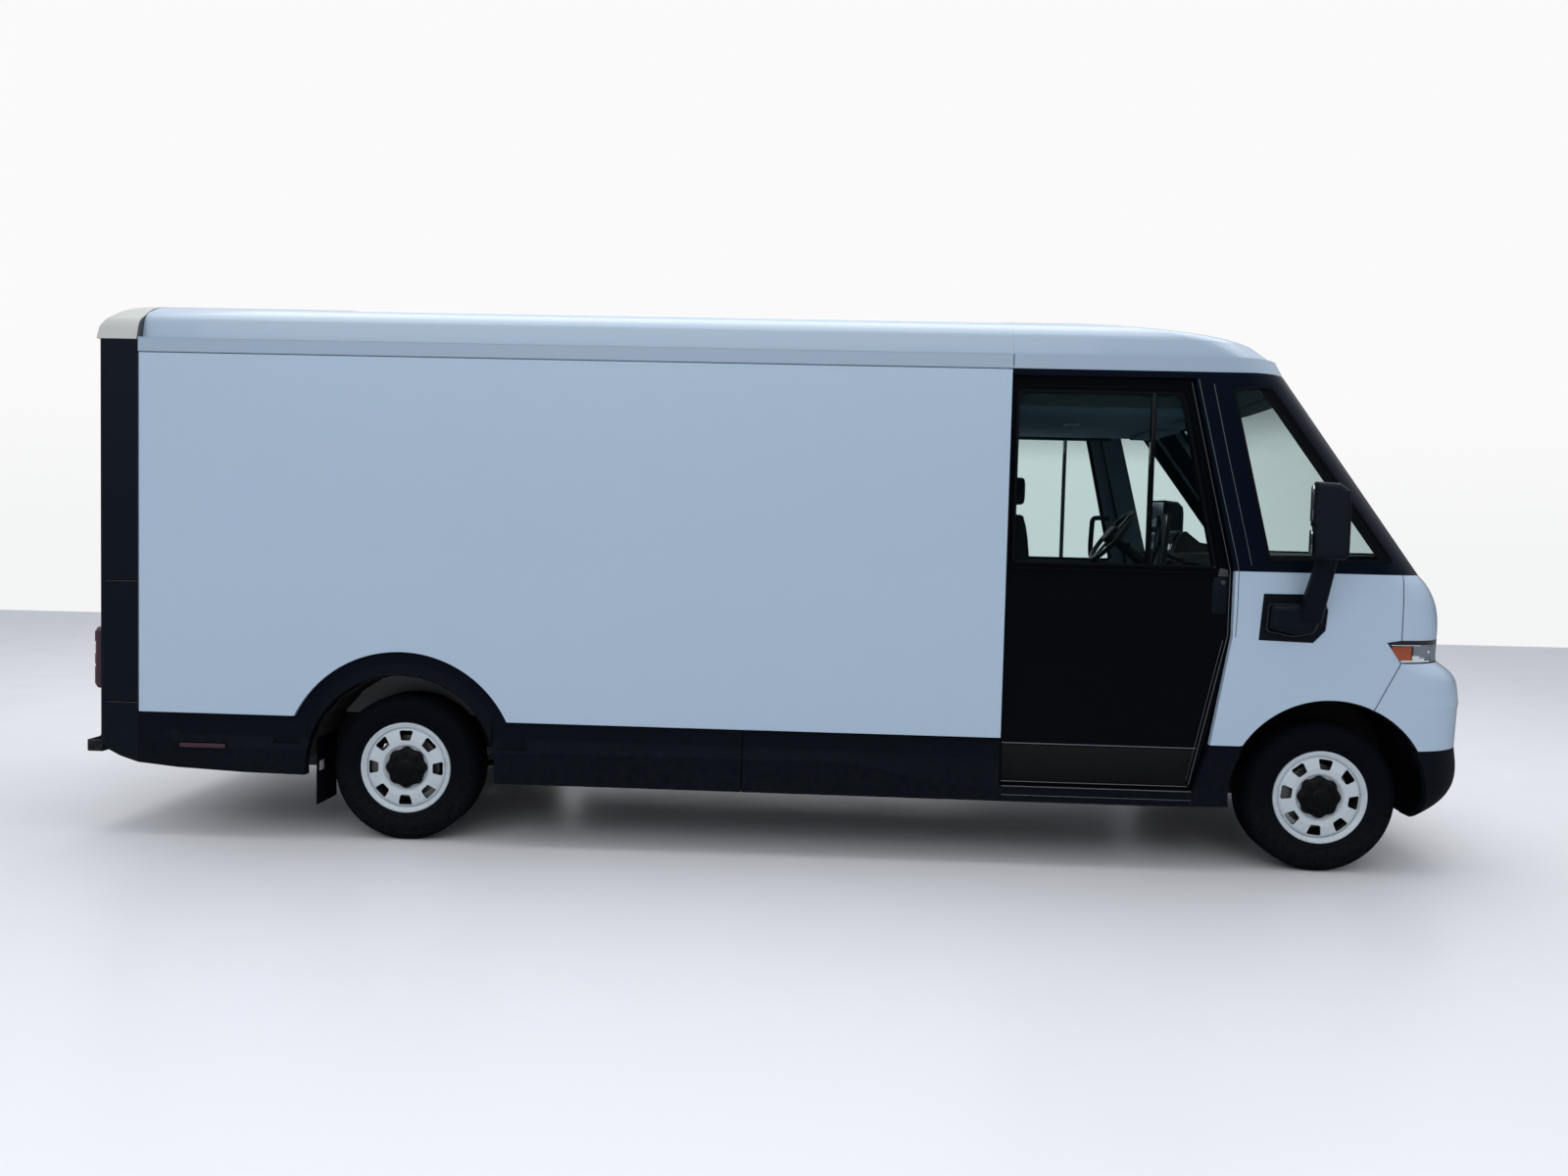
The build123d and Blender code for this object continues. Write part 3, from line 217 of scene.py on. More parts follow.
def make_finishes(own):
    """Every finish of the van, by the name of its material slot or its use."""
    paint = tuple(own.paint)
    # name, colour, roughness, tone change and its scale, grain depth and its scale, edge rounding, the rest
    for name, colour, roughness, tone, tone_size, grain, grain_size, rounding, rest in (
        # the body's white set darker and bluer for its sides in shade: painted shade
        ("body_white", paint, 0.26, 0.015, 0.8, 0.0001, 90.0, 0.004,
         dict(coat=0.6, rough_shift=0.012, dust=0.04, dust_top=0.75)),
        # the roof is the body's white darkened to 0.8 for the shade on its rails and channel: painted shade
        ("roof_white", scaled(paint, 0.8), 0.3, 0.015, 0.8, 0.0001, 90.0, 0.004, dict(coat=0.4, rough_shift=0.012)),
        ("cap_grey", own.cap, 0.62, 0.06, 6.0, 0.0024, 420.0, 0.005, {}),
        ("frame_black", (0.003, 0.0055, 0.012), 0.16, 0.1, 1.2, 0.0, 500.0, 0.003,
         dict(rough_shift=0.015, specular=0.06)),
        ("gloss_black", own.gloss_black, 0.05, 0.1, 1.2, 0.0, 500.0, 0.003, dict(rough_shift=0.015, specular=0.12)),
        ("satin_black", own.satin_black, 0.42, 0.1, 3.0, 0.0008, 600.0, 0.004, dict(specular=0.14, dust=0.02)),
        ("cladding_black", own.cladding, 0.42, 0.12, 4.0, 0.0016, 700.0, 0.004,
         dict(specular=0.07, cells=True, dust=0.03)),
        ("step_black", own.cladding, 0.55, 0.12, 5.0, 0.002, 500.0, 0.004,
         dict(specular=0.1, cells=True, dust=0.3)),
        ("tyre_rubber", own.rubber, 0.72, 0.15, 7.0, 0.0012, 420.0, 0.002,
         dict(specular=0.05, dust=0.04, dust_top=0.5)),
        ("seal_rubber", scaled(own.rubber, 0.7), 0.6, 0.05, 1.2, 0.0006, 900.0, 0.0, dict(specular=0.1)),
        ("rim_white", own.rim, 0.32, 0.05, 8.0, 0.0006, 240.0, 0.004, dict(coat=0.2, dust=0.25, dust_top=0.6)),
        ("cap_black", (0.004, 0.004, 0.005), 0.48, 0.2, 20.0, 0.001, 500.0, 0.002, dict(specular=0.14)),
        ("cast_metal", (0.2, 0.2, 0.2), 0.5, 0.15, 12.0, 0.002, 220.0, 0.002, dict(metallic=0.9)),
        ("disc_steel", (0.32, 0.31, 0.3), 0.34, 0.12, 30.0, 0.0005, 900.0, 0.0, dict(metallic=1.0)),
        ("unit_alloy", (0.42, 0.43, 0.44), 0.42, 0.08, 6.0, 0.0016, 260.0, 0.004, dict(metallic=0.85, dust=0.3)),
        ("chassis_black", (0.018, 0.018, 0.019), 0.55, 0.2, 5.0, 0.0015, 160.0, 0.004,
         dict(specular=0.25, dust=0.35)),
        ("battery_grey", (0.085, 0.09, 0.095), 0.52, 0.1, 4.0, 0.0014, 200.0, 0.005, dict(dust=0.35)),
        ("floor_grey", (0.16, 0.165, 0.17), 0.6, 0.12, 3.0, 0.002, 260.0, 0.004, dict(cells=True)),
        ("liner_grey", own.liner, 0.62, 0.05, 2.0, 0.001, 320.0, 0.003, {}),
        ("dash_black", (0.02, 0.021, 0.023), 0.58, 0.1, 6.0, 0.0012, 650.0, 0.006, dict(specular=0.25, cells=True)),
        ("door_grey", (0.3, 0.31, 0.32), 0.42, 0.06, 3.0, 0.0008, 300.0, 0.003, {}),
        ("wheel_wrap", (0.014, 0.014, 0.015), 0.5, 0.1, 1.2, 0.0012, 900.0, 0.0, dict(cells=True)),
        # bright metal of the bezels and posts, and the lines on door and sill edges that stand for light caught
        # there: painted highlights
        ("bright_trim_and_edge_highlight", (0.2, 0.22, 0.24), 0.35, 0.04, 1.2, 0.0002, 500.0, 0.0, dict(metallic=0.7)),
        ("mirror_silver", (0.5, 0.53, 0.55), 0.02, 0.01, 1.2, 0.0, 500.0, 0.0,
         dict(metallic=1.0, rough_shift=0.01)),
        # dark felt of the arch liners, darkened further for the shade inside the arches: partly painted shade
        ("liner_felt_and_shade", (0.018, 0.016, 0.014), 0.9, 0.25, 9.0, 0.003, 240.0, 0.0, dict(specular=0.2)),
        ("headliner", (0.09, 0.15, 0.2), 0.9, 0.08, 5.0, 0.0012, 700.0, 0.0, dict(specular=0.2)),
        ("pillar_trim", (0.1, 0.15, 0.19), 0.6, 0.06, 4.0, 0.0008, 600.0, 0.003, dict(specular=0.2)),
        ("kick_grey", (0.006, 0.006, 0.007), 0.6, 0.2, 14.0, 0.0016, 420.0, 0.002, dict(specular=0.15, cells=True)),
        ("trim_dark", (0.045, 0.048, 0.055), 0.3, 0.04, 1.2, 0.0002, 500.0, 0.0, dict(specular=0.4)),
        ("seat_cloth", own.seat_cloth, 0.9, 0.12, 8.0, 0.0016, 900.0, 0.0,
         dict(specular=0.2, cells=True, sheen=0.25)),
        ("plate_grey", (0.42, 0.43, 0.43), 0.5, 0.05, 20.0, 0.0005, 300.0, 0.0, {}),
        ("cable_orange", (0.75, 0.16, 0.015), 0.5, 0.06, 1.2, 0.0006, 500.0, 0.0, {}),
        ("screen_glass", (0.004, 0.005, 0.007), 0.08, 0.2, 1.2, 0.0, 500.0, 0.0, dict(coat=1.0, rough_shift=0.02)),
    ):
        finishes[name] = finish(name, tuple(colour), roughness, tone, tone_size, grain, grain_size, rounding, **rest)
    finishes["glass_tint"] = pane_finish("glass_tint", tuple(own.glass), own.glass_density)
    for name, colour, *look in (("lamp_clear", (0.24, 0.28, 0.32), 0.0, 180.0, "X"),
                                ("lamp_dark", (0.012, 0.013, 0.015)), ("lamp_amber", own.amber, 0.1, 150.0, "Z"),
                                ("lamp_red", own.red, 0.0, 150.0, "Z"), ("lamp_white", (0.62, 0.65, 0.67), 0.05)):
        finishes[name] = lens_finish(name, tuple(colour), *look)


# ---- Shaping helpers ----------------------------------------------------------------------------
# how (a, b, along) becomes (x, y, z) for an outline carried along an axis
ORDER = {"X": lambda a, b, c: (c, a, b), "Y": lambda a, b, c: (a, c, b), "Z": lambda a, b, c: (a, b, c)}
ORIGIN = (0, 0, 0)


def move(shape, by):
    bmesh.ops.translate(shape, vec=Vector(by), verts=shape.verts)
    return shape


def turned(shape, angle, axis):
    bmesh.ops.rotate(shape, cent=ORIGIN, matrix=Matrix.Rotation(angle, 3, axis), verts=shape.verts)
    return shape


def everything(shape):
    return shape.verts[:] + shape.edges[:] + shape.faces[:]


def block(low, high, bevel=0.0, segments=2):
    """A box between two corners, its edges rounded by bevel."""
    shape = bmesh.new()
    bmesh.ops.create_cube(shape, size=1.0)
    low, high = Vector(low), Vector(high)
    bmesh.ops.scale(shape, vec=high - low, verts=shape.verts)
    round_edges(move(shape, (low + high) / 2), shape.edges[:], bevel, segments)
    return shape


def round_edges(shape, edges, width, segments=2):
    if width > 0:
        bmesh.ops.bevel(shape, geom=edges, offset=width, offset_type="OFFSET", segments=segments, profile=0.5,
            affect="EDGES", clamp_overlap=True, material=-1)


def cast(outline, start, end, axis="Y", bevel=0.0, segments=2):
    """A flat outline carried along axis from start to end. The outline is given in the other two axes."""
    order = ORDER[axis]
    shape = bmesh.new()
    face = shape.faces.new([shape.verts.new(order(a, b, start)) for a, b in outline])
    along = Vector(order(0, 0, end - start))
    grown = bmesh.ops.extrude_face_region(shape, geom=[face])
    moved = [v for v in grown["geom"] if isinstance(v, bmesh.types.BMVert)]
    bmesh.ops.translate(shape, vec=along, verts=moved)
    bmesh.ops.recalc_face_normals(shape, faces=shape.faces)
    if bevel > 0:
        unit = along.normalized()
        rims = [e for e in shape.edges if abs((e.verts[0].co - e.verts[1].co).dot(unit)) < 1e-06
            and any(abs(f.normal.dot(unit)) > 0.99 for f in e.link_faces)]
        round_edges(shape, rims, bevel, segments)
    return shape


def rect(a_low, b_low, a_high, b_high):
    """The outline of a rectangle between two corners."""
    return [(a_low, b_low), (a_high, b_low), (a_high, b_high), (a_low, b_high)]


def soft_rect(a_low, b_low, a_high, b_high, corner):
    return rounded(rect(a_low, b_low, a_high, b_high), corner)


def panel(a_low, b_low, a_high, b_high, corner, start, end, axis="Y", bevel=0.0):
    """A rectangle with rounded corners carried along axis."""
    return cast(soft_rect(a_low, b_low, a_high, b_high, corner), start, end, axis, bevel)


def spaced(start, step, count):
    return [start + row * step for row in range(count)]


def spun(profile, centre, steps=96, closed=False, axis="Y"):
    """A profile of (radius, distance along the axis) turned all the way round."""
    shape = bmesh.new()
    points = [shape.verts.new((radius, along, 0)) for radius, along in profile]
    pairs = list(zip(points, points[1:])) + ([(points[-1], points[0])] if closed else [])
    edges = [shape.edges.new(pair) for pair in pairs]
    bmesh.ops.spin(shape, geom=points + edges, cent=ORIGIN, axis=(0, 1, 0), angle=tau, steps=steps, use_merge=True,
        use_duplicate=False)
    bmesh.ops.remove_doubles(shape, verts=shape.verts, dist=1e-05)
    bmesh.ops.recalc_face_normals(shape, faces=shape.faces)
    if axis == "X":
        turned(shape, -pi / 2, "Z")
    if axis == "Z":
        turned(shape, pi / 2, "X")
    return move(shape, centre)


def button(profile, at, steps, **closed):
    """A small turned piece that faces along the van."""
    return spun(profile, at, steps, axis="X", **closed)


def tube(points, radius, sides=10, order=3, closed=False):
    """A round bar along a smooth line through the points."""
    curve = bpy.data.curves.new("line", "CURVE")
    curve.dimensions = "3D"
    curve.bevel_depth = radius
    curve.bevel_resolution = max(1, sides // 4)
    curve.use_fill_caps = True
    line = curve.splines.new("NURBS")
    line.points.add(len(points) - 1)
    for point, place in zip(line.points, points):
        point.co = (*place, 1.0)
    line.order_u = min(order, len(points))
    line.use_endpoint_u = True
    line.use_cyclic_u = closed
    line.resolution_u = 8
    holder = bpy.data.objects.new("line", curve)
    mesh = bpy.data.meshes.new_from_object(holder)
    shape = bmesh.new()
    shape.from_mesh(mesh)
    bpy.data.objects.remove(holder)
    bpy.data.meshes.remove(mesh)
    bpy.data.curves.remove(curve)
    bmesh.ops.remove_doubles(shape, verts=shape.verts, dist=1e-05)
    return shape


def joined(shapes):
    """One bmesh from several, which are used up."""
    whole = bmesh.new()
    for shape in shapes:
        mesh = bpy.data.meshes.new("part")
        shape.to_mesh(mesh)
        whole.from_mesh(mesh)
        bpy.data.meshes.remove(mesh)
        shape.free()
    return whole


def mirrored(shape):
    """The shape on the other side of the van."""
    other = shape.copy()
    bmesh.ops.scale(other, vec=(1, -1, 1), verts=other.verts)
    bmesh.ops.reverse_faces(other, faces=other.faces)
    return other


def skin_of(node, cuts, facing, away=0.0, least=0.2):
    """Part of a CAD node's outer skin: cut by planes of (point, normal), what lies beyond them dropped,
    only faces that look towards facing kept, then moved out by away."""
    shape = bmesh.new()
    shape.from_mesh(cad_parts[node].data)
    bmesh.ops.remove_doubles(shape, verts=shape.verts, dist=2e-05)
    for point, normal in cuts:
        bmesh.ops.bisect_plane(shape, geom=everything(shape), plane_co=point, plane_no=normal, clear_outer=True)
    facing = Vector(facing).normalized()
    wrong = [f for f in shape.faces if f.normal.dot(facing) < least]
    bmesh.ops.delete(shape, geom=wrong, context="FACES")
    shape.normal_update()
    for vert in shape.verts:
        vert.co += vert.normal * away
    return shape


def thicken(shape, depth):
    """Closes a skin into a shell of that depth, grown outwards."""
    bmesh.ops.solidify(shape, geom=shape.faces[:], thickness=-depth)
    return shape


def place(name, shape, finish_name, slot=None, body="van_body", angle=35.0):
    """Makes the bmesh, or a list of them, a finished piece that rides on a body of the van. Its material is the
    finish; slot is not used."""
    shape = joined(shape) if isinstance(shape, list) else shape
    for edge in shape.edges:
        edge.smooth = not (len(edge.link_faces) == 2 and edge.calc_face_angle(0.0) > radians(angle))
    for face in shape.faces:
        face.smooth = True
    mesh = bpy.data.meshes.new(name)
    shape.to_mesh(mesh)
    shape.free()
    piece = bpy.data.objects.new(name, mesh)
    bpy.context.scene.collection.objects.link(piece)
    mesh.materials.append(finishes[finish_name])
    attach(piece, body)
    slot or finish_name
    return piece


def pair(name, shape, finish_name, slot=None, bodies=("van_body", "van_body")):
    """The right-hand piece and its mirror image, on one body for each side."""
    shape = joined(shape) if isinstance(shape, list) else shape
    left = mirrored(shape)
    place(name + "_right", shape, finish_name, slot, bodies[0])
    place(name + "_left", left, finish_name, slot, bodies[1])


def wheel_centre(wheel):
    low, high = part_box("tyre_" + wheel)
    return (low + high) / 2


front_axle = wheel_centre("front_right")
rear_axle = wheel_centre("rear_right")
front_x, rear_x = front_axle.x, rear_axle.x
skin_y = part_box("cargo_side_right")[0].y
DOORS = ("side_door_right", "side_door_left")


# ---- Finishes on the CAD nodes -------------------------------------------------------------------
FINISH_NODES = {
    "chassis_black": "chassis_frame seat_base rear_axle front_subframe",
    "battery_grey": "battery_pack",
    "floor_grey": "load_floor",
    "dash_black": "cab_floor dashboard steering_column seat_cushion seat_back",
    "body_white": "cargo_side_right cargo_side_left fender_right fender_left nose_panel hood bumper_upper",
    "liner_grey": "door_pockets bulkhead",
    "cladding_black": "cladding_right cladding_left bumper_lower",
    "roof_white": "roof_cargo roof_cab",
    "satin_black": "rear_portal mirrors wipers",
    "cap_grey": "rear_cap",
    "door_grey": "rear_door bulkhead_door",
    "step_black": "rear_step",
    "lamp_red": "tail_lamps",
    "tyre_rubber": "mud_flaps",
    "frame_black": "cab_frame",
    "glass_tint": "windshield quarter_glass door_glass_right door_glass_left",
    "lamp_dark": "headlamps",
    "gloss_black": "front_band side_door_right side_door_left",
    "wheel_wrap": "steering_wheel",
    "cast_metal": "rear_springs knuckle_right knuckle_left",
    "unit_alloy": "drive_units",
}
NODE_FINISH = {node: finish_name for finish_name, nodes in FINISH_NODES.items() for node in nodes.split()}
for wheel in WHEELS:
    NODE_FINISH["rim_" + wheel] = "rim_white"
    NODE_FINISH["tyre_" + wheel] = "tyre_rubber"

# nodes whose faces that look into the van have another finish, and rims whose hollows take the black finish as
# painted shade: node, inner finish, test of a face
INNER_FINISH = {
    "cargo_side_right": ("liner_grey", lambda n, c: n.y > 0.9),
    "cargo_side_left": ("liner_grey", lambda n, c: n.y < -0.9),
    "roof_cargo": ("liner_grey", lambda n, c: n.z < -0.05 and abs(c.y) < 1.05),
    "roof_cab": ("headliner", lambda n, c: (Vector((1.3, 0, 2.0)) - c).dot(n) > 0 and abs(c.y) < 1.07),
    "cab_frame": ("pillar_trim", lambda n, c: abs(n.y) > 0.8 and c.y * n.y < 0 and abs(c.y) < 1.09),
    "side_door_right": ("pillar_trim", lambda n, c: n.y > 0.9),
    "side_door_left": ("pillar_trim", lambda n, c: n.y < -0.9),
    "fender_right": ("chassis_black", lambda n, c: n.y > 0.3),
    "fender_left": ("chassis_black", lambda n, c: n.y < -0.3),
    "nose_panel": ("chassis_black", lambda n, c: n.x < -0.1),
    "hood": ("chassis_black", lambda n, c: n.x < -0.1),
    "bumper_upper": ("chassis_black", lambda n, c: (Vector((2.6, 0, 0.8)) - c).dot(n) > 0 and abs(n.z) < 0.9),
}


def rim_shade_faces(wheel):
    """Test of a rim's face: a wall of one of its windows, or the inside of the barrel behind them, which take a
    black finish as painted shade.
    """
    centre = wheel_centre(wheel)

    def test(normal, place):
        out = place - centre
        reach = (out.x ** 2 + out.z ** 2) ** 0.5
        wall = 0.138 < reach < 0.202 and abs(normal.y) < 0.35
        behind = abs(place.y) < abs(centre.y) + 0.045 and reach < 0.215
        return wall or behind
    return test


# the white rims' window walls and barrel are painted black: painted shade
for wheel in WHEELS:
    INNER_FINISH["rim_" + wheel] = ("chassis_black", rim_shade_faces(wheel))


def dress_nodes():
    for node, finish_name in NODE_FINISH.items():
        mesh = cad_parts[node].data
        mesh.materials.clear()
        mesh.materials.append(finishes[finish_name])
        if node in INNER_FINISH:
            inner, test = INNER_FINISH[node]
            mesh.materials.append(finishes[inner])
            for face in mesh.polygons:
                face.material_index = 1 if test(face.normal, face.center) else 0


# ---- Wheels --------------------------------------------------------------------------------------
def tyre_shape(centre, blocks, depth):
    """One tyre: ribbed sidewalls, grooved tread cut into blocks, lugs on the shoulders."""
    side = [(0.2185, 0.086), (0.2355, 0.0955), (0.243, 0.1045), (0.249, 0.1075), (0.256, 0.109), (0.26, 0.1075),
        (0.264, 0.1105), (0.285, 0.1165), (0.303, 0.1182), (0.3045, 0.1196), (0.311, 0.1198), (0.3125, 0.1184),
        (0.33, 0.116), (0.345, 0.111), (0.359, 0.1035), (0.368, 0.093), (0.3705, 0.086)]
    tread = [(0.3715, 0.064), (0.3715 - depth, 0.0615), (0.3715 - depth, 0.0545), (0.3722, 0.052), (0.3722, 0.025),
        (0.3722 - depth, 0.0225), (0.3722 - depth, 0.0155), (0.3725, 0.013)]
    half = side + tread
    profile = half + [(radius, -along) for radius, along in reversed(half)]
    inside = [(0.232, -0.08), (0.33, -0.098), (0.356, -0.08), (0.356, 0.08), (0.33, 0.098), (0.232, 0.08)]
    shape = spun(profile + inside, ORIGIN, steps=blocks * 2, closed=True)
    ribs, lugs = [], []
    for face in shape.faces:
        middle = face.calc_center_median()
        radius = Vector((middle.x, middle.z)).length
        outward = face.normal.dot(Vector((middle.x, 0, middle.z)).normalized())
        turn = int((atan2(middle.z, middle.x) + tau) / tau * blocks * 2)
        if radius > 0.3695 and outward > 0.8:
            ribs.append(face)
        elif 0.346 < radius < 0.369 and abs(middle.y) > 0.095 and turn % 2:
            lugs.append(face)
    bmesh.ops.inset_individual(shape, faces=ribs, thickness=0.0011, depth=0.0052, use_even_offset=True)
    bmesh.ops.inset_region(shape, faces=lugs, thickness=0.0015, depth=0.003, use_even_offset=True)
    return move(shape, centre)


NUTS, NUT_CIRCLE = 8, 0.072


def wheel_cap(centre, side):
    """Ribbed black cap over the wheel nuts. side is -1 on the right and +1 on the left."""
    profile = [(0.0, 0.1185), (0.034, 0.118), (0.04, 0.1165), (0.044, 0.112), (0.052, 0.1115), (0.058, 0.1105),
        (0.086, 0.107), (0.096, 0.1035), (0.1015, 0.096), (0.103, 0.083), (0.06, 0.084), (0.0, 0.086)]
    shape = spun([(radius, side * along) for radius, along in profile], ORIGIN, steps=96)
    for vert in shape.verts:
        radius = Vector((vert.co.x, vert.co.z)).length
        if radius > 0.054:
            lobe = 1 + 0.05 * cos(NUTS * atan2(vert.co.z, vert.co.x)) * min(1.0, (radius - 0.054) / 0.04)
            vert.co.x *= lobe
            vert.co.z *= lobe
    parts = [shape]
    for turn in range(NUTS):
        angle = tau * turn / NUTS
        nut = bmesh.new()
        bmesh.ops.create_cone(nut, cap_ends=True, segments=6, radius1=0.0125, radius2=0.0105, depth=0.012)
        rims = [e for e in nut.edges if e.calc_length() > 0.005]
        round_edges(nut, rims, 0.0012, 2)
        turned(nut, pi / 2, "X")
        parts.append(move(nut, (NUT_CIRCLE * cos(angle), side * 0.1105, NUT_CIRCLE * sin(angle))))
    whole = joined(parts)
    bmesh.ops.recalc_face_normals(whole, faces=whole.faces)
    return move(whole, centre)


def rim_trim(centre, side):
    """Rolled outer lip of the rim and the valve."""
    lip = spun([(0.2345, side * 0.0905), (0.2352, side * 0.1015), (0.2325, side * 0.106), (0.2275, side * 0.107),
        (0.2235, side * 0.104), (0.2228, side * 0.0985), (0.2262, side * 0.096), (0.2295, side * 0.0925)], ORIGIN,
        steps=96, closed=True)
    valve = tube([(0.203, side * 0.075, 0.03), (0.204, side * 0.09, 0.03), (0.203, side * 0.112, 0.03)], 0.0042)
    whole = joined([lip, valve])
    return move(whole, centre)


def brake_disc(centre, side):
    """Vented brake disc with its hub bell, seen through the rim."""
    profile = [(0.079, 0.05), (0.13, 0.05), (0.131, 0.036), (0.161, 0.036), (0.163, 0.038), (0.163, 0.043),
        (0.156, 0.043), (0.156, 0.051), (0.163, 0.051), (0.163, 0.056), (0.161, 0.058), (0.098, 0.058),
        (0.096, 0.06), (0.079, 0.06)]
    shape = spun([(radius, side * along) for radius, along in profile], ORIGIN, steps=96, closed=True)
    return move(shape, centre)


def brake_caliper(centre, side):
    """Cast caliper with its two pistons, behind the axle."""
    spread = radians(30)
    arc = [(0.19, -spread), (0.19, -spread / 2), (0.19, 0.0), (0.19, spread / 2), (0.19, spread),
        (0.12, spread * 0.8), (0.112, 0.0), (0.12, -spread * 0.8)]
    outline = [(-radius * cos(turn), radius * sin(turn)) for radius, turn in arc]
    near, far = sorted((side * 0.014, side * 0.0285))
    inner = cast(outline, near, far, bevel=0.004, segments=2)
    near, far = sorted((side * 0.0655, side * 0.08))
    outer = cast(outline, near, far, bevel=0.004, segments=2)
    bridge = []
    for turn in (-0.3, 0.0, 0.3):
        at = Vector((-0.1795 * cos(turn), 0, 0.1795 * sin(turn)))
        near, far = sorted((side * 0.02, side * 0.075))
        bridge.append(block(at + Vector((-0.008, near, -0.017)), at + Vector((0.008, far, 0.017)), 0.003))
    pistons = []
    for turn in (-0.24, 0.24):
        pot = bmesh.new()
        bmesh.ops.create_cone(pot, cap_ends=True, segments=24, radius1=0.026, radius2=0.024, depth=0.03)
        turned(pot, pi / 2, "X")
        pistons.append(move(pot, (-0.145 * cos(turn), side * 0.006, 0.145 * sin(turn))))
    whole = joined([inner, outer, *bridge, *pistons])
    bmesh.ops.recalc_face_normals(whole, faces=whole.faces)
    return move(whole, centre)


def make_wheels(own):
    for wheel in WHEELS:
        centre = wheel_centre(wheel)
        side = -1 if wheel.endswith("right") else 1
        body = "wheel_" + wheel
        tyre = place("tyre_looks_" + wheel, tyre_shape(centre, own.tread_blocks, own.tread_depth), "tyre_rubber",
            body=body, angle=30.0)
        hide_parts("tyre_" + wheel)
        place("wheel_cap_" + wheel, wheel_cap(centre, side), "cap_black", "satin_black", body=body)
        place("rim_lip_" + wheel, rim_trim(centre, side), "rim_white", body=body)
        place("brake_disc_" + wheel, brake_disc(centre, side), "disc_steel", "cast_metal", body=body)
        stay = "knuckle_" + wheel.split("_")[1] if wheel.startswith("front") else "van_body"
        place("brake_caliper_" + wheel, brake_caliper(centre, side), "cast_metal", body=stay)


# ---- Side outlines -------------------------------------------------------------------------------
def rounded(outline, corner, steps=5):
    """The outline with each corner drawn as an arc."""
    result = []
    count = len(outline)
    for index in range(count):
        here = Vector(outline[index])
        back = Vector(outline[index - 1]) - here
        ahead = Vector(outline[(index + 1) % count]) - here
        reach = min(corner, back.length * 0.45, ahead.length * 0.45)
        start, end = here + back.normalized() * reach, here + ahead.normalized() * reach
        for step in range(steps + 1):
            share = step / steps
            point = start * (1 - share) ** 2 + here * 2 * share * (1 - share) + end * share ** 2
            result.append((point.x, point.y))
    return result


def grown(outline, by):
    """The outline moved outwards by a distance; points run either way round."""
    count = len(outline)
    area = sum(outline[i - 1][0] * outline[i][1] - outline[i][0] * outline[i - 1][1] for i in range(count))
    turn = 1 if area > 0 else -1
    result = []
    for index in range(count):
        here = Vector(outline[index])
        run_in = (here - Vector(outline[index - 1])).normalized()
        run_out = (Vector(outline[(index + 1) % count]) - here).normalized()
        normal_in = Vector((run_in.y, -run_in.x)) * turn
        normal_out = Vector((run_out.y, -run_out.x)) * turn
        shift = (normal_in + normal_out) * (by / max(0.35, 1 + normal_in.dot(normal_out)))
        result.append((here.x + shift.x, here.y + shift.y))
    return result


def ring(outline, width, start, end, axis="Y", bevel=0.001):
    """A closed frame along an outline, width wide inside it, carried along axis from start to end."""
    order = ORDER[axis]
    inner = grown(outline, -width)
    count = len(outline)
    shape = bmesh.new()
    sides = (outline, start), (outline, end), (inner, end), (inner, start)
    loops = [[shape.verts.new(order(a, b, along)) for a, b in points] for points, along in sides]
    for one, two in zip(loops, loops[1:] + loops[:1]):
        for index in range(count):
            after = (index + 1) % count
            shape.faces.new((one[index], one[after], two[after], two[index]))
    bmesh.ops.recalc_face_normals(shape, faces=shape.faces)
    if bevel:
        unit = Vector(order(0, 0, 1))
        rims = [e for e in shape.edges if abs((e.verts[0].co - e.verts[1].co).dot(unit)) < 1e-06
            and e.calc_face_angle(0) > radians(60)]
        round_edges(shape, rims, bevel, 2)
    return shape


def ribbon(points, width, start, end, bevel=0.0006):
    """A strip of that width along a line of (x, z) points, from y start to y end."""
    edge, other = [], []
    last = len(points) - 1
    for index, (x, z) in enumerate(points):
        before, after = points[max(0, index - 1)], points[min(last, index + 1)]
        run = Vector((after[0] - before[0], after[1] - before[1])).normalized()
        edge.append((x - run.y * width / 2, z + run.x * width / 2))
        other.append((x + run.y * width / 2, z - run.x * width / 2))
    return cast(edge + other[::-1], start, end, bevel=bevel, segments=1)


# ---- Side doors ----------------------------------------------------------------------------------
door_low, door_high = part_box("side_door_right")
door_front_line = ((2.0315, 2.447), (2.2605, 1.507), (2.2595, 1.182), (2.0935, 0.415))


def door_window_outlines():
    """Both panes of a side door as (x, z) outlines, rear pane first."""
    low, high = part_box("door_glass_right")
    bar = front_x - 0.912
    rear = rect(low.x, low.z, bar - 0.008, high.z)
    lead = [(bar + 0.008, low.z), (front_x - 0.578, low.z), (front_x - 0.768, high.z), (bar + 0.008, high.z)]
    return rear, lead


def door_window_outline():
    """Both panes as one outline, from the lower rear corner round by the front."""
    rear, lead = door_window_outlines()
    return [rear[0], lead[1], lead[2], rear[3]]


def corner_fill(outline, at, reach, start, end):
    """The wedge that rounds one corner of a pane."""
    here = Vector(outline[at])
    one = here + (Vector(outline[at - 1]) - here).normalized() * reach
    two = here + (Vector(outline[(at + 1) % len(outline)]) - here).normalized() * reach
    curve = [one * (1 - s) ** 2 + here * 2 * s * (1 - s) + two * s ** 2 for s in (i / 8 for i in range(9))]
    return cast([(p.x, p.y) for p in curve] + [(here.x, here.y)], start, end)


def door_line_at(height, back):
    """x on the door's leading edge at a height, moved back from it."""
    for (x_high, z_high), (x_low, z_low) in zip(door_front_line, door_front_line[1:]):
        if height >= z_low:
            share = (height - z_low) / (z_high - z_low)
            return x_low + share * (x_high - x_low) - back
    return door_front_line[-1][0] - back


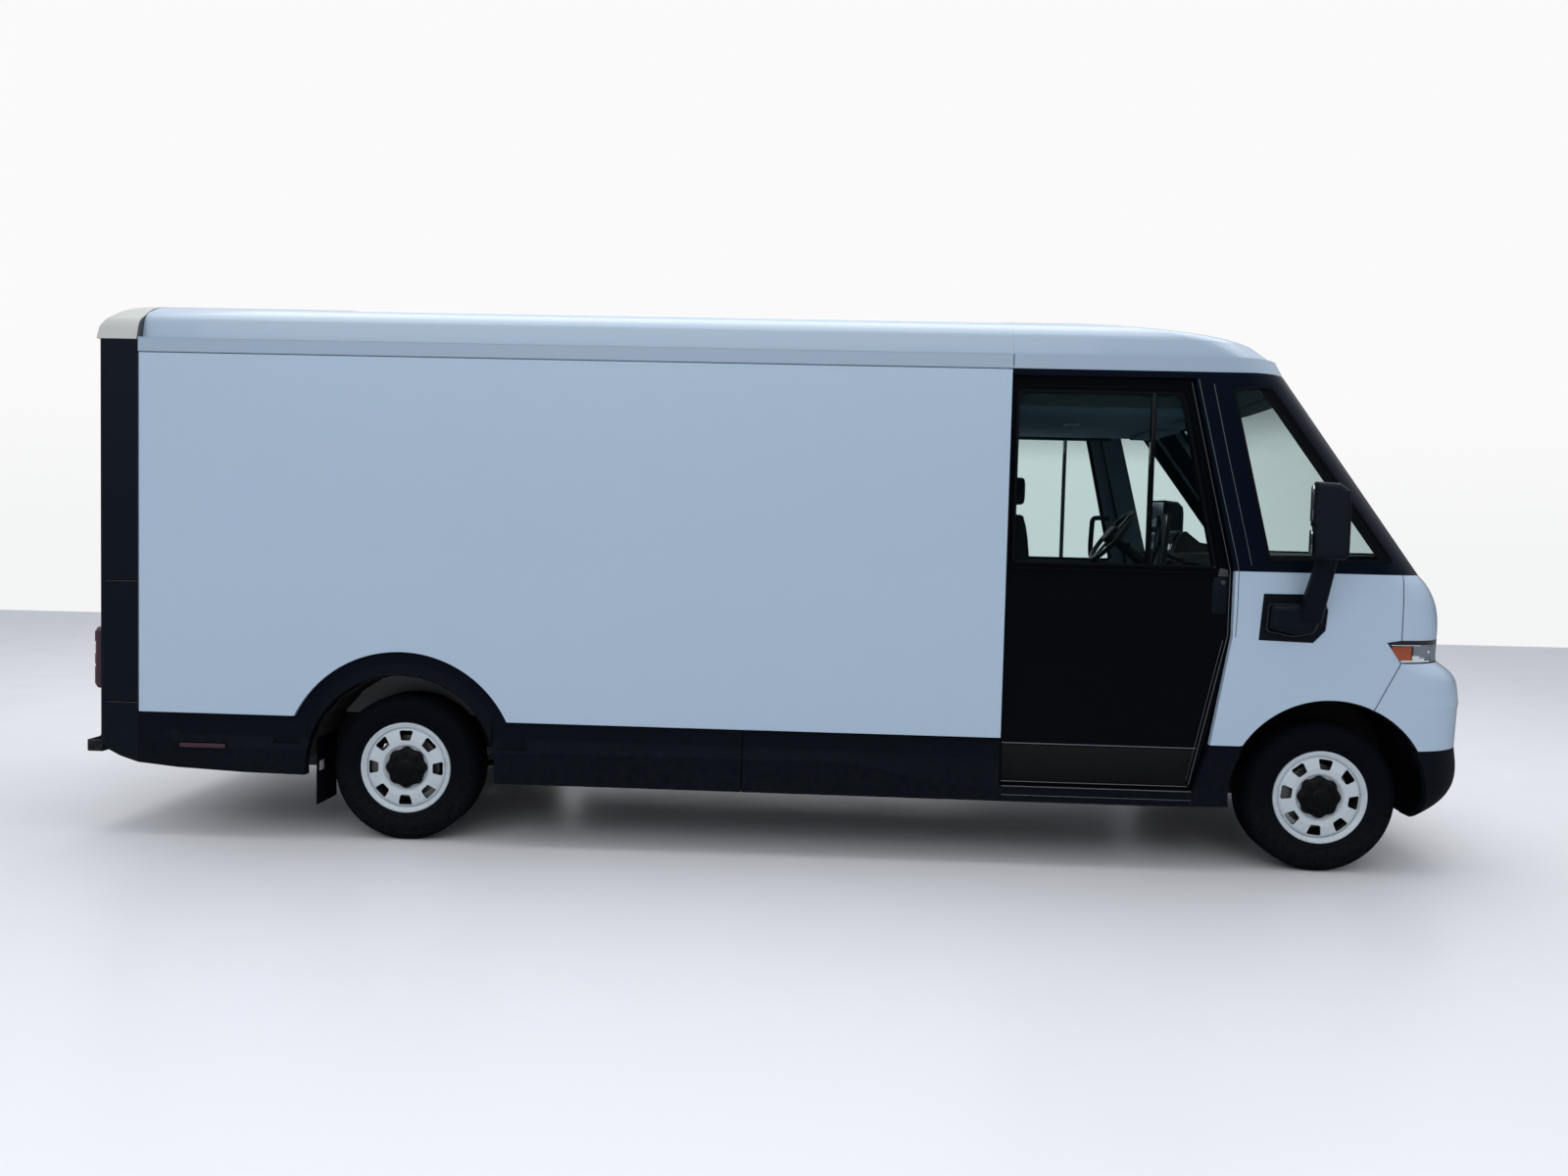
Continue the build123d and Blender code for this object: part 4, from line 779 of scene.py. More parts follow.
def make_doors(own):
    face, back = door_low.y, door_high.y
    panes = door_window_outlines()
    whole = rounded(grown(door_window_outline(), 0.003), 0.034)
    seals = [
        ring(whole, own.seal_width, face - 0.0025, face + 0.004),
        ring(whole, own.seal_width, back - 0.002, back + 0.003),
    ]
    for start, end in ((face - 0.0022, face + 0.004), (back - 0.004, back + 0.0022)):
        seals += [corner_fill(panes[0], 3, 0.11, start, end), corner_fill(panes[1], 2, 0.095, start, end)]
    pair("door_seals", seals, "seal_rubber", "satin_black", bodies=DOORS)
    bar_x = (panes[0][1][0] + panes[1][0][0]) / 2
    pair("door_bar", block((bar_x - 0.01, face - 0.003, panes[0][0][1]),
        (bar_x + 0.01, face + 0.01, panes[0][2][1]), 0.002), "gloss_black", bodies=DOORS)
    # a raised frame round the panes
    pair("door_frame_line", ring(rounded(grown(door_window_outline(), 0.026), 0.055), 0.002, face - 0.0018, face,
        bevel=0.0005), "satin_black", bodies=DOORS)
    kick_top, kick_foot, kick_rear = 0.608, 0.428, 1.15
    kick = cast([(kick_rear, kick_foot), (door_line_at(kick_foot, 0.03), kick_foot),
        (door_line_at(kick_top, 0.03), kick_top), (kick_rear, kick_top)], face - 0.0025, face + 0.001, bevel=0.0015)
    pair("door_kick", kick, "kick_grey", "satin_black", bodies=DOORS)
    highlight = own.highlight_width
    lead_heights = 2.435, 2.0, 1.6, 1.507, 1.42, 1.3, 1.182, 0.8, 0.43
    # bright lines along the door's edges that stand for the light caught there: painted highlights
    lines = [
        ribbon([(kick_rear, 0.615), (door_line_at(0.615, 0.024), 0.615)], highlight, face - 0.0028, face),
        ribbon([(kick_rear, 0.421), (door_line_at(0.421, 0.016), 0.421)], highlight * 0.8, face - 0.0028, face),
        ribbon([(door_line_at(z, 0.012), z) for z in lead_heights], highlight * 0.8, face - 0.0028, face),
        ribbon([(door_line_at(z, 0.03), z) for z in (1.16, 0.8, 0.45)], highlight * 0.5, face - 0.0022, face),
        ribbon([(kick_rear, 2.452), (1.985, 2.452)], highlight * 0.6, face - 0.0022, face),
    ]
    pair("door_highlight_lines", lines, "bright_trim_and_edge_highlight", "satin_black", bodies=DOORS)
    grip = rounded([(2.16, 1.292), (2.236, 1.292), (2.238, 1.474), (2.166, 1.474)], 0.02)
    pair("door_handle_plate", cast(grip, face - 0.0024, face + 0.001, bevel=0.001), "satin_black", bodies=DOORS)
    rim = ring(grip, 0.004, face - 0.0032, face - 0.002, bevel=0.0004)
    pull = block((2.182, face - 0.0045, 1.315), (2.194, face - 0.001, 1.43), 0.0014)
    pair("door_handle", [rim, pull], "satin_black", bodies=DOORS)
    lock = spun([(0.0, -0.0042), (0.01, -0.004), (0.0115, -0.0025), (0.0115, 0.002), (0.0, 0.002)],
        (2.216, face, 1.448), steps=32)
    catch = cast(rounded([(2.188, 1.478), (2.24, 1.478), (2.236, 1.512), (2.196, 1.52)], 0.008), face - 0.0035,
        face + 0.001, bevel=0.001)
    pair("door_lock", [lock, catch], "trim_dark", "satin_black", bodies=DOORS)
    # the card, its ledge and its net
    layers = (
        (((1.19, 0.5), (2.06, 0.5), (2.19, 1.18), (2.19, 1.43), (1.19, 1.43)), 0.05, -0.001, 0.0035, 0.0015),
        (((1.55, 1.16), (2.1, 1.16), (2.12, 1.25), (1.55, 1.25)), 0.03, 0.003, 0.0055, 0.001),
        (((1.3, 0.56), (1.95, 0.56), (2.03, 0.82), (1.3, 0.82)), 0.03, 0.003, 0.005, 0.001),
    )
    card = [cast(rounded(outline, corner), back + start, back + end, bevel=bevel)
        for outline, corner, start, end, bevel in layers]
    pair("door_card", card, "dash_black", bodies=DOORS)


# ---- Pillars, rails and sills --------------------------------------------------------------------
quarter_outline = ((front_x - 0.551, 2.4), (front_x - 0.361, 2.415), (front_x + 0.268, 1.568),
    (front_x - 0.338, 1.552))


def behind_front_edge(back):
    """A plane along the quarter glass's front edge, moved back from it: what lies behind is dropped."""
    (x_high, z_high), (x_low, z_low) = quarter_outline[1], quarter_outline[2]
    along = Vector((x_low - x_high, 0, z_low - z_high)).normalized()
    across = Vector((along.z, 0, -along.x))
    return tuple(Vector((x_high, 0, z_high)) + across * back), tuple(across)


def make_pillars(own):
    pair("quarter_seal", ring(rounded(grown(quarter_outline, 0.001), 0.04), own.seal_width, skin_y - 0.0015,
        skin_y + 0.006), "seal_rubber", "satin_black")
    shade = skin_of("quarter_glass", [((0, 0, 0), (0, 1, 0)), behind_front_edge(0.055)], (0.3, -1, 0), 0.0004, 0.2)
    pair("quarter_shade", thicken(shade, 0.0008), "seal_rubber", "satin_black")
    highlight = own.highlight_width
    pillar = [(2.118, 2.42), (2.205, 2.06), (2.3, 1.69), (2.338, 1.535)]
    doorway = [(2.044, 2.44), (2.184, 1.88), (2.266, 1.56), (2.277, 1.5), (2.277, 1.3), (2.272, 1.18)]
    # bright lines along the pillar, doorway and sill edges that stand for the light caught there: painted highlights
    sills = [
        ribbon(pillar, highlight * 0.7, skin_y - 0.0015, skin_y + 0.002),
        ribbon(doorway, highlight * 0.8, skin_y - 0.0015, skin_y + 0.002),
        ribbon([(1.15, 0.404), (2.088, 0.404)], highlight * 0.8, skin_y - 0.0015, skin_y + 0.002),
        ribbon([(1.15, 0.36), (2.088, 0.36)], highlight * 0.4, skin_y - 0.001, skin_y + 0.002),
    ]
    pair("pillar_highlight_lines", sills, "bright_trim_and_edge_highlight", "satin_black")
    hairs = [block((portal_low.x + 0.046, skin_y - 0.0006, z - 0.0014),
        (portal_high.x - 0.001, skin_y + 0.003, z + 0.0014), 0.0004, 1) for z in (1.3125, 0.6888)]
    hairs.append(block((portal_high.x - 0.0012, skin_y - 0.0006, 0.655),
        (portal_high.x + 0.0012, skin_y + 0.003, 2.47), 0.0004, 1))
    pair("portal_side_lines", hairs, "trim_dark", "satin_black")
    rear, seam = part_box("roof_cargo")[0].x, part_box("roof_cargo")[1].x
    beads = [
        block((rear, skin_y - 0.001, 2.4795), (seam + 0.93, skin_y + 0.004, 2.4845), 0.001, 1),
        block((rear, skin_y - 0.0007, 2.5455), (seam, skin_y + 0.004, 2.5505), 0.001, 1),
    ]
    pair("rail_beads", beads, "roof_white")
    pair("side_reflector", panel(-3.046, 0.468, -2.806, 0.49, 0.006, skin_y - 0.004, skin_y + 0.004, bevel=0.0015),
        "lamp_red")
    pair("reflector_frame", ring(soft_rect(-3.056, 0.458, -2.796, 0.5, 0.01), 0.006, skin_y - 0.003,
        skin_y + 0.003), "cladding_black")


def vault(centre, radius, y_out, y_in, start, end, ribs=0, depth=0.004):
    """A liner bent over a wheel, from one angle to another (0 is ahead, a quarter turn is up)."""
    shape = bmesh.new()
    steps, rows = 48, 4
    points = [shape.verts.new((centre.x + radius * cos(start), y_out + (y_in - y_out) * row / rows,
        centre.z + radius * sin(start))) for row in range(rows + 1)]
    edges = [shape.edges.new(two) for two in zip(points, points[1:])]
    bmesh.ops.spin(shape, geom=points + edges, cent=(centre.x, 0, centre.z), axis=(0, 1, 0), angle=start - end,
        steps=steps, use_duplicate=False)
    bmesh.ops.recalc_face_normals(shape, faces=shape.faces)
    first = shape.faces[:][0]
    if first.normal.dot(Vector((centre.x, 0, centre.z)) - first.calc_center_median()) < 0:
        bmesh.ops.reverse_faces(shape, faces=shape.faces)
    if ribs:
        step = (end - start) / (ribs * 2)
        middles = [(f, f.calc_center_median() - centre) for f in shape.faces]
        raised = [f for f, at in middles if int((atan2(at.z, at.x) - start) / step) % 2 == 0]
        bmesh.ops.inset_region(shape, faces=raised, thickness=0.003, depth=0.005)
    bmesh.ops.solidify(shape, geom=shape.faces[:], thickness=depth)
    return shape


REAR_LINER, FRONT_LINER = 0.484, 0.498    # radii of the liners over the wheels


def make_arches():
    rear = vault(rear_axle, REAR_LINER, skin_y + 0.052, -0.725, radians(8), radians(172), ribs=9)
    wall_arc = [(rear_x + REAR_LINER * cos(radians(a)), rear_axle.z + REAR_LINER * sin(radians(a)))
        for a in range(8, 173, 4)]
    wall = cast(wall_arc, -0.729, -0.723)
    pair("arch_liner_rear", [rear, wall], "liner_felt_and_shade", "tyre_rubber")
    pair("arch_post_rear", block((-2.475, -0.985, 0.37), (-2.372, -0.74, 0.66), 0.004), "chassis_black")
    pair("arch_liner_front", vault(front_axle, FRONT_LINER, skin_y + 0.04, -0.745, radians(20), radians(160),
        ribs=9), "tyre_rubber")
    pair("flap_plate", block((-2.364, -0.992, 0.345), (-2.3608, -0.942, 0.395), 0.001), "plate_grey",
        "battery_grey")


# ---- Mirrors -------------------------------------------------------------------------------------
MIRROR_TURN = radians(-20)


def make_mirrors():
    outer = -1.4165
    x = front_x - 0.222
    glass = joined([panel(outer + 0.018, foot, outer + 0.195, top, 0.02, x - 0.0035, x + 0.004, axis="X",
        bevel=0.0015) for foot, top in ((1.758, 1.925), (1.6, 1.715))])
    bmesh.ops.rotate(glass, cent=(front_x - 0.141, -1.309, 0), matrix=Matrix.Rotation(MIRROR_TURN, 3, "Z"),
        verts=glass.verts)
    pair("mirror_glass", glass, "mirror_silver", "glass_tint")
    base = [(front_x - 0.33, 1.352), (front_x - 0.338, 1.215), (front_x - 0.205, 1.19), (front_x - 0.1, 1.212),
        (front_x - 0.045, 1.352)]
    pair("mirror_base_line", ring(rounded(base, 0.02), 0.004, skin_y - 0.0015, skin_y + 0.004, bevel=0.0006),
        "trim_dark", "satin_black")


# ---- Nose, lamps and bumpers ---------------------------------------------------------------------
def band_of(node, z_low, z_high, facing, lift, thick, x_from=None, x_to=None, y_from=None, y_to=None):
    """A plate laid on a node's outer skin between heights and stations; its face stands lift proud."""
    cuts = [((0, 0, z_low), (0, 0, -1)), ((0, 0, z_high), (0, 0, 1))]
    for at, normal in ((x_from, (-1, 0, 0)), (x_to, (1, 0, 0)), (y_from, (0, -1, 0)), (y_to, (0, 1, 0))):
        if at is not None:
            cuts.append((Vector(normal) * at * sum(normal), normal))
    shape = skin_of(node, cuts, facing, lift - thick, 0.15)
    return thicken(shape, thick)


def seam_strip(node, start, end, width=0.003):
    """A dark line on the right side of a node's skin, along the edge from start to end, both (x, z)."""
    one, two = Vector((start[0], 0, start[1])), Vector((end[0], 0, end[1]))
    along = (two - one).normalized()
    across = Vector((along.z, 0, -along.x))
    cuts = [(tuple(one - across * width / 2), tuple(-across)), (tuple(one + across * width / 2), tuple(across)),
        (tuple(one), tuple(-along)), (tuple(two), tuple(along)), ((0, -0.3, 0), (0, 1, 0))]
    return thicken(skin_of(node, cuts, (0.3, -1, 0), 0.0004, 0.1), 0.001)


def make_lamps_front():
    """Lenses and strips of both headlamps, cut from the CAD lamp's skin."""
    low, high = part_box("headlamps")
    corner = 0.8, -1, 0
    lenses = (
        ("lamp_brow", high.z - 0.018, high.z - 0.0015, 0.0015, 0.004, None, None, "lamp_dark"),
        ("lamp_turn", low.z + 0.012, high.z - 0.03, 0.002, 0.005, 3.034, 3.136, "lamp_amber"),
        ("lamp_side", low.z + 0.018, high.z - 0.022, 0.002, 0.005, 3.148, 3.262, "lamp_clear"),
    )
    for name, z_low, z_high, lift, thick, x_from, x_to, look in lenses:
        pair(name, band_of("headlamps", z_low, z_high, corner, lift, thick, x_from, x_to, y_to=0), look,
            "lamp_clear")
    # white strips on the lamp, glowing a little, that stand for its glints: painted highlights
    painted_glints = [band_of("headlamps", low.z + start, low.z + end, corner, 0.0028, 0.003, x_from=x_start, x_to=x_end,
        y_to=0) for start, end, x_start, x_end in ((0.004, 0.013, 3.08, 3.255), (0.013, 0.024, 3.142, 3.216),
        (0.024, 0.036, 3.142, 3.184), (0.048, 0.058, 3.24, 3.258))]
    painted_glints.append(band_of("headlamps", high.z - 0.025, high.z - 0.0215, corner, 0.0024, 0.003, x_from=3.03,
        x_to=3.19, y_to=0))
    pair("lamp_painted_glints", [glint for glint in painted_glints if glint.faces], "lamp_white", "lamp_clear")
    pair("lamp_main", band_of("headlamps", low.z + 0.004, high.z - 0.022, (1, -0.3, 0), 0.002, 0.005, x_from=3.266,
        y_to=0), "lamp_clear")
    eyes, bezels = [], []
    for y in (-0.84, -0.75, -0.66):
        sag = 0.03 * (abs(y) / 0.84) ** 2 + (0.018 if y < -0.8 else 0.0)
        x = high.x - 0.006 - sag
        eyes.append(button([(0.0, 0.002), (0.012, 0.0015), (0.018, -0.001), (0.0205, -0.006), (0.0, -0.006)],
            (x, y, low.z + 0.04), 32))
        bezels.append(button([(0.021, -0.006), (0.021, 0.001), (0.024, 0.0015), (0.0265, -0.001), (0.0265, -0.006)],
            (x, y, low.z + 0.04), 32, closed=True))
    pair("lamp_eyes", eyes, "lamp_white", "lamp_clear")
    pair("lamp_bezels", bezels, "bright_trim_and_edge_highlight", "lamp_clear")
    place("band_light", band_of("front_band", high.z - 0.014, high.z - 0.008, (1, 0, 0), 0.002, 0.004),
        "lamp_white", "lamp_clear")
    place("band_line", band_of("front_band", low.z + 0.03, low.z + 0.036, (1, 0, 0), 0.0018, 0.003), "satin_black",
        "gloss_black")


PLATE_HALF = 0.1525    # half the width of the blank plates


def make_bumper():
    """Ribs of the grille and the intake, skid strip, sensors and blank plate."""
    ribs = [band_of("bumper_lower", z, z + 0.014, (1, 0, 0), 0.008, 0.01, x_from=3.45, y_from=-0.86, y_to=0.86)
        for z in spaced(0.668, 0.036, 6)]
    place("grille_ribs", ribs, "cladding_black")
    slats = [band_of("bumper_lower", z, z + 0.012, (1, 0, 0), 0.006, 0.008, x_from=3.4, y_from=-0.52, y_to=0.52)
        for z in spaced(0.395, 0.034, 4)]
    place("intake_ribs", slats, "satin_black", "cladding_black")
    place("skid_strip", band_of("bumper_lower", 0.3, 0.372, (1, 0, -0.2), 0.003, 0.005, x_from=3.15, y_from=-0.66,
        y_to=0.66), "battery_grey", "cladding_black")
    sensors = []
    for y in (-0.78, -0.3, 0.3, 0.78):
        x = front_face_x(y, 0.578)
        sensors.append(button([(0.0, 0.003), (0.009, 0.0025), (0.0115, 0.001), (0.0125, -0.004), (0.0, -0.004)],
            (x, y, 0.578), 28))
    place("front_sensors", sensors, "satin_black", "cladding_black")
    x = front_face_x(0, 0.6)
    plate = block((x + 0.002, -PLATE_HALF, 0.535), (x + 0.006, PLATE_HALF, 0.625), 0.0015)
    holder = block((x - 0.003, -0.162, 0.525), (x + 0.003, 0.162, 0.632), 0.002)
    screws = [button([(0.0, 0.003), (0.004, 0.0025), (0.006, 0.0), (0.0, 0.0)], (x + 0.006, y, 0.58), 20)
        for y in (-0.137, 0.137)]
    place("front_plate", [plate, *screws], "plate_grey", "battery_grey")
    place("front_plate_holder", holder, "satin_black", "cladding_black")


def front_face_x(y, z):
    """How far forward the front reaches at a point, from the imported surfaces."""
    reach = []
    for node in ("bumper_upper", "bumper_lower", "hood", "front_band"):
        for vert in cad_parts[node].data.vertices:
            if abs(abs(vert.co.y) - abs(y)) < 0.14 and abs(vert.co.z - z) < 0.07:
                weight = abs(abs(vert.co.y) - abs(y)) + abs(vert.co.z - z)
                reach.append((weight, -vert.co.x))
    reach.sort()
    near = [x for weight, x in reach[:8]]
    return -min(near)


def make_glass_edges():
    """Black border round the windshield."""
    low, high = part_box("windshield")
    edges = [
        dict(z_low=low.z - 0.01, z_high=low.z + 0.05),
        dict(z_low=high.z - 0.042, z_high=high.z + 0.01),
        dict(z_low=low.z + 0.05, z_high=high.z - 0.042, y_to=low.y + 0.04),
        dict(z_low=low.z + 0.05, z_high=high.z - 0.042, y_from=high.y - 0.04),
    ]
    place("windshield_border", [band_of("windshield", facing=(1, 0, 0.6), lift=0.001, thick=0.0016, **edge)
        for edge in edges], "seal_rubber", "satin_black")


GLASS_SLOPE = (0.971, 0.715)    # rise and run of the windshield
BLADE_LENGTH = 0.50


def make_wipers():
    """Blades and their clips under both wiper arms, bent with the glass."""
    rise, run = GLASS_SLOPE
    slope = (rise ** 2 + run ** 2) ** 0.5
    normal = Vector((rise / slope, 0, run / slope))
    up = Vector((-run / slope, 0, rise / slope))
    blades, clips = [], []
    for y_start in (-0.6, 0.23):
        points = [glass_point(y_start + 0.03 + BLADE_LENGTH * step / 8, 0.012) + normal * 0.011
            for step in range(9)]
        blades.append(tube(points, 0.0055, 8))
        blades.append(tube([p + normal * 0.009 for p in points], 0.0035, 8))
        start, end = points[4] + normal * 0.01 + up * 0.006, points[4] + normal * 0.013 - up * 0.036
        clips.append(tube([start, start.lerp(end, 0.5), end], 0.008, 10))
    place("wiper_blades", blades, "seal_rubber", "satin_black")
    place("wiper_clips", clips, "satin_black")


def glass_point(y, rise_up):
    """A point on the windshield's outer face near its foot, at y and that far up the slope."""
    low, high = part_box("windshield")
    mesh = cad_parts["windshield"].data
    tree = BVHTree.FromPolygons([v.co for v in mesh.vertices], [list(p.vertices) for p in mesh.polygons])
    return tree.find_nearest(Vector((high.x + 0.03, y, low.z + rise_up + 0.02)))[0]


def make_nose():
    """Cowl slots, and the dark seams of the nose and the bumper."""
    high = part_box("nose_panel")[1]
    slots = [band_of("nose_panel", high.z - 0.03, high.z - 0.022, (1, 0, 0.3), 0.001, 0.002,
        y_from=-0.736 + row * 0.1, y_to=-0.664 + row * 0.1) for row in range(15)]
    place("cowl_slots", slots, "satin_black")
    seam = front_x + 0.322
    lines = [
        seam_strip("nose_panel", (seam + 0.0012, 1.182), (seam + 0.0012, 1.56)),
        seam_strip("bumper_upper", (seam + 0.004, 1.077), (front_x + 0.199, 0.825)),
        seam_strip("bumper_upper", (seam + 0.01, 1.0735), (seam + 0.34, 1.0735)),
    ]
    pair("nose_seams", [line for line in lines if line.faces], "seal_rubber", "satin_black")


# ---- Rear ----------------------------------------------------------------------------------------
portal_low, portal_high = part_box("rear_portal")
leaf_low, leaf_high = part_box("rear_door")


def make_rear_door(own):
    """Slat panels, hinges, seal, handle and latch of the roll-up door."""
    face = leaf_low.x + 0.022
    rows = own.slat_count
    pitch = (leaf_high.z - leaf_low.z) / rows
    panels, hinges = [], []
    for row in range(rows):
        z_low, z_high = leaf_low.z + row * pitch + 0.009, leaf_low.z + (row + 1) * pitch - 0.009
        for y_low in spaced(-0.915, 0.612, 3):
            panels.append(panel(y_low, z_low, y_low + 0.6, z_high, 0.02, face - 0.004, face + 0.002, axis="X",
                bevel=0.003))
        if row:
            for y in (-0.86, 0.0, 0.86):
                hinges.append(block((face - 0.005, y - 0.03, z_low - 0.022),
                    (face - 0.001, y + 0.03, z_low + 0.004), 0.0012, 1))
    place("rear_slats", panels, "door_grey")
    place("rear_slat_hinges", hinges, "unit_alloy", "door_grey")
    handle = tube([(face - 0.006, -0.16, 1.02), (face - 0.034, -0.15, 1.02), (face - 0.034, 0.15, 1.02),
        (face - 0.006, 0.16, 1.02)], 0.007, 12)
    latch = block((face - 0.02, -0.055, 0.9), (face - 0.002, 0.055, 0.975), 0.004)
    cup = ring(soft_rect(-0.2, 0.985, 0.2, 1.055, 0.02), 0.008, face - 0.008, face - 0.002, axis="X")
    place("rear_handle", [handle, latch, cup], "satin_black")
    seal = ring(rect(-0.935, leaf_low.z + 0.002, 0.935, leaf_high.z - 0.002), 0.018, portal_low.x + 0.004,
        face - 0.006, axis="X", bevel=0.003)
    place("rear_seal", seal, "seal_rubber", "satin_black")


def make_portal():
    """Trim line, grab bars, lamps, sensors, reflectors and blank plate of the rear portal."""
    x = portal_low.x
    place("portal_line", ring(soft_rect(-0.985, 0.655, 0.985, 2.44, 0.03), 0.004, x - 0.0018, x + 0.003, axis="X",
        bevel=0.0006), "plate_grey", "satin_black")
    bars = []
    for y in (-0.965, 0.965):
        bars.append(tube([(x + 0.002, y, 1.22), (x - 0.048, y, 1.235), (x - 0.048, y, 1.7), (x + 0.002, y, 1.715)],
            0.011, 12))
        for z in (1.22, 1.715):
            bars.append(button([(0.0, -0.006), (0.02, -0.005), (0.022, 0.0), (0.022, 0.002), (0.0, 0.002)],
                (x, y, z), 28))
    place("grab_bars", bars, "satin_black")
    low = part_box("tail_lamps")[0]
    segments = ((0.022, 0.118, "lamp_red"), (0.126, 0.186, "lamp_amber"), (0.194, 0.234, "lamp_white"),
        (0.242, 0.3, "lamp_red"))
    for number, (start, end, lens) in enumerate(segments):
        pair("tail_segment_%d" % (number + 1), panel(-1.062, low.z + start, -0.988, low.z + end, 0.008,
            low.x - 0.003, low.x + 0.004, axis="X", bevel=0.002), lens, "lamp_red")
    marker = [panel(y - 0.035, 2.475, y + 0.035, 2.497, 0.006, x - 0.006, x + 0.002, axis="X", bevel=0.002)
        for y in (-0.16, 0.0, 0.16, -0.93, 0.93)]
    place("marker_lamps", marker, "lamp_red")
    plate = block((x - 0.005, -PLATE_HALF, 0.514), (x - 0.001, PLATE_HALF, 0.666), 0.0015)
    bolts = [button([(0.0, -0.0045), (0.005, -0.004), (0.0065, -0.001), (0.0065, 0.0), (0.0, 0.0)],
        (x - 0.005, y, z), 16) for y in (-0.0889, 0.0889) for z in (0.53, 0.65)]
    place("rear_plate", [plate, *bolts], "plate_grey", "battery_grey")
    place("plate_lamp_hood", block((x - 0.03, -0.1, 0.672), (x + 0.001, 0.1, 0.686), 0.004), "satin_black")
    place("plate_lamp", block((x - 0.026, -0.08, 0.67), (x - 0.006, 0.08, 0.6725), 0.001, 1), "lamp_white",
        "lamp_clear")
    sensors = [button([(0.0, -0.003), (0.009, -0.0025), (0.0115, -0.001), (0.0125, 0.003), (0.0, 0.003)],
        (x, y, 0.59), 28) for y in (-0.82, -0.33, 0.33, 0.82)]
    place("rear_sensors", sensors, "cladding_black", "satin_black")
    place("rear_reflectors", [panel(y - 0.055, 0.47, y + 0.055, 0.5, 0.006, x - 0.005, x + 0.002, axis="X",
        bevel=0.0015) for y in (-0.9, 0.9)], "lamp_red")


def make_cap():
    """Camera, high brake lamp and joint line of the moulded cap over the portal."""
    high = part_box("rear_cap")[1]
    lamp_shape = panel(-0.17, 2.6, 0.17, 2.622, 0.006, cap_face_x(2.611) - 0.006, cap_face_x(2.611) + 0.012,
        axis="X", bevel=0.002)
    place("brake_lamp_high", lamp_shape, "lamp_red")
    x = cap_face_x(2.565)
    pod = block((x - 0.02, -0.035, 2.548), (x + 0.02, 0.035, 2.58), 0.008, 3)
    eye = button([(0.0, -0.006), (0.006, -0.005), (0.009, -0.002), (0.01, 0.002), (0.0, 0.002)],
        (x - 0.018, 0, 2.562), 24)
    place("rear_camera", [pod, eye], "satin_black")
    half = [((0, 0, 0), (0, 1, 0)), ((high.x - 0.007, 0, 0), (-1, 0, 0))]
    pair("cap_joint", thicken(skin_of("rear_cap", half, (0, -1, 1), 0.0003, 0.0), 0.0006), "trim_dark",
        "satin_black")


def cap_face_x(z):
    """x of the cap's rear face at a height on the centre plane."""
    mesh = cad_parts["rear_cap"].data
    best = None
    for face in mesh.polygons:
        zs = [mesh.vertices[i].co.z for i in face.vertices]
        ys = [mesh.vertices[i].co.y for i in face.vertices]
        if face.normal.x < -0.1 and min(zs) <= z <= max(zs) and (min(ys) <= 0.05) and (max(ys) >= -0.05):
            centre = face.center
            x = centre.x - face.normal.z * (z - centre.z) / face.normal.x
            best = x if best is None else min(best, x)
    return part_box("rear_cap")[0].x if best is None else best


def make_step():
    """Grip ribs and brackets of the rear step."""
    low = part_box("rear_step")[0]
    ribs = [block((x, -1.03, 0.4775), (x + 0.007, 1.03, 0.4808), 0.0012, 1)
        for x in spaced(low.x + 0.012, 0.016, 5)]
    for side in (-1, 1):
        for row in range(6):
            y = side * (0.3 + row * 0.11)
            ribs.append(block((low.x + 0.01, y - 0.004, 0.4775), (low.x + 0.084, y + 0.004, 0.4815), 0.001, 1))
    place("step_grip", ribs, "tyre_rubber", "step_black")
    lug = cast([(low.x + 0.02, 0.4775), (low.x + 0.086, 0.4775), (low.x + 0.086, 0.515), (low.x + 0.062, 0.515)],
        -0.985, -0.93, bevel=0.003)
    pair("step_bracket", lug, "step_black")


# ---- Cab inside ----------------------------------------------------------------------------------
def crowned(outline, start, end, axis, crown, corner, cuts=9, pinch=0.012):
    """A stuffed pad: a slab whose two broad faces swell and whose edges draw in between its corners."""
    shape = cast(rounded(outline, corner), start, end, axis=axis)
    index = {"X": 0, "Y": 1, "Z": 2}[axis]
    flat = [i for i in range(3) if i != index]
    low = Vector(tuple(min(v.co[i] for v in shape.verts) for i in range(3)))
    high = Vector(tuple(max(v.co[i] for v in shape.verts) for i in range(3)))
    middle, half = (low + high) / 2, (high - low) / 2
    for axis_index in range(3):
        count = cuts if axis_index != index else 4
        for step in range(1, count):
            at = Vector(middle)
            at[axis_index] = low[axis_index] + (high[axis_index] - low[axis_index]) * step / count
            normal = Vector((0, 0, 0))
            normal[axis_index] = 1.0
            bmesh.ops.bisect_plane(shape, geom=everything(shape), plane_co=at, plane_no=normal)
    for vert in shape.verts:
        off = [(vert.co[i] - middle[i]) / half[i] for i in range(3)]
        one, two = off[flat[0]], off[flat[1]]
        swell = max(0.0, 1 - one ** 4) * max(0.0, 1 - two ** 4)
        side = abs(off[index])
        edge = (1 - swell) * side ** 3
        vert.co[index] += (1 if off[index] > 0 else -1) * side * (crown * swell - crown * 1.2 * edge)
        for position, other in ((flat[0], two), (flat[1], one)):
            share = off[position]
            pull = pinch * (1 - other ** 2) * max(0.0, abs(share) - 0.6) / 0.4
            round_off = crown * 0.9 * side ** 3 * max(0.0, abs(share) - 0.7) / 0.3
            vert.co[position] -= (1 if share > 0 else -1) * (pull + round_off)
    return shape


# the back pads are cast upright between two heights, then leaned back
PAD_FOOT, PAD_TOP, SEAT_RAKE = 1.205, 1.800, 0.058


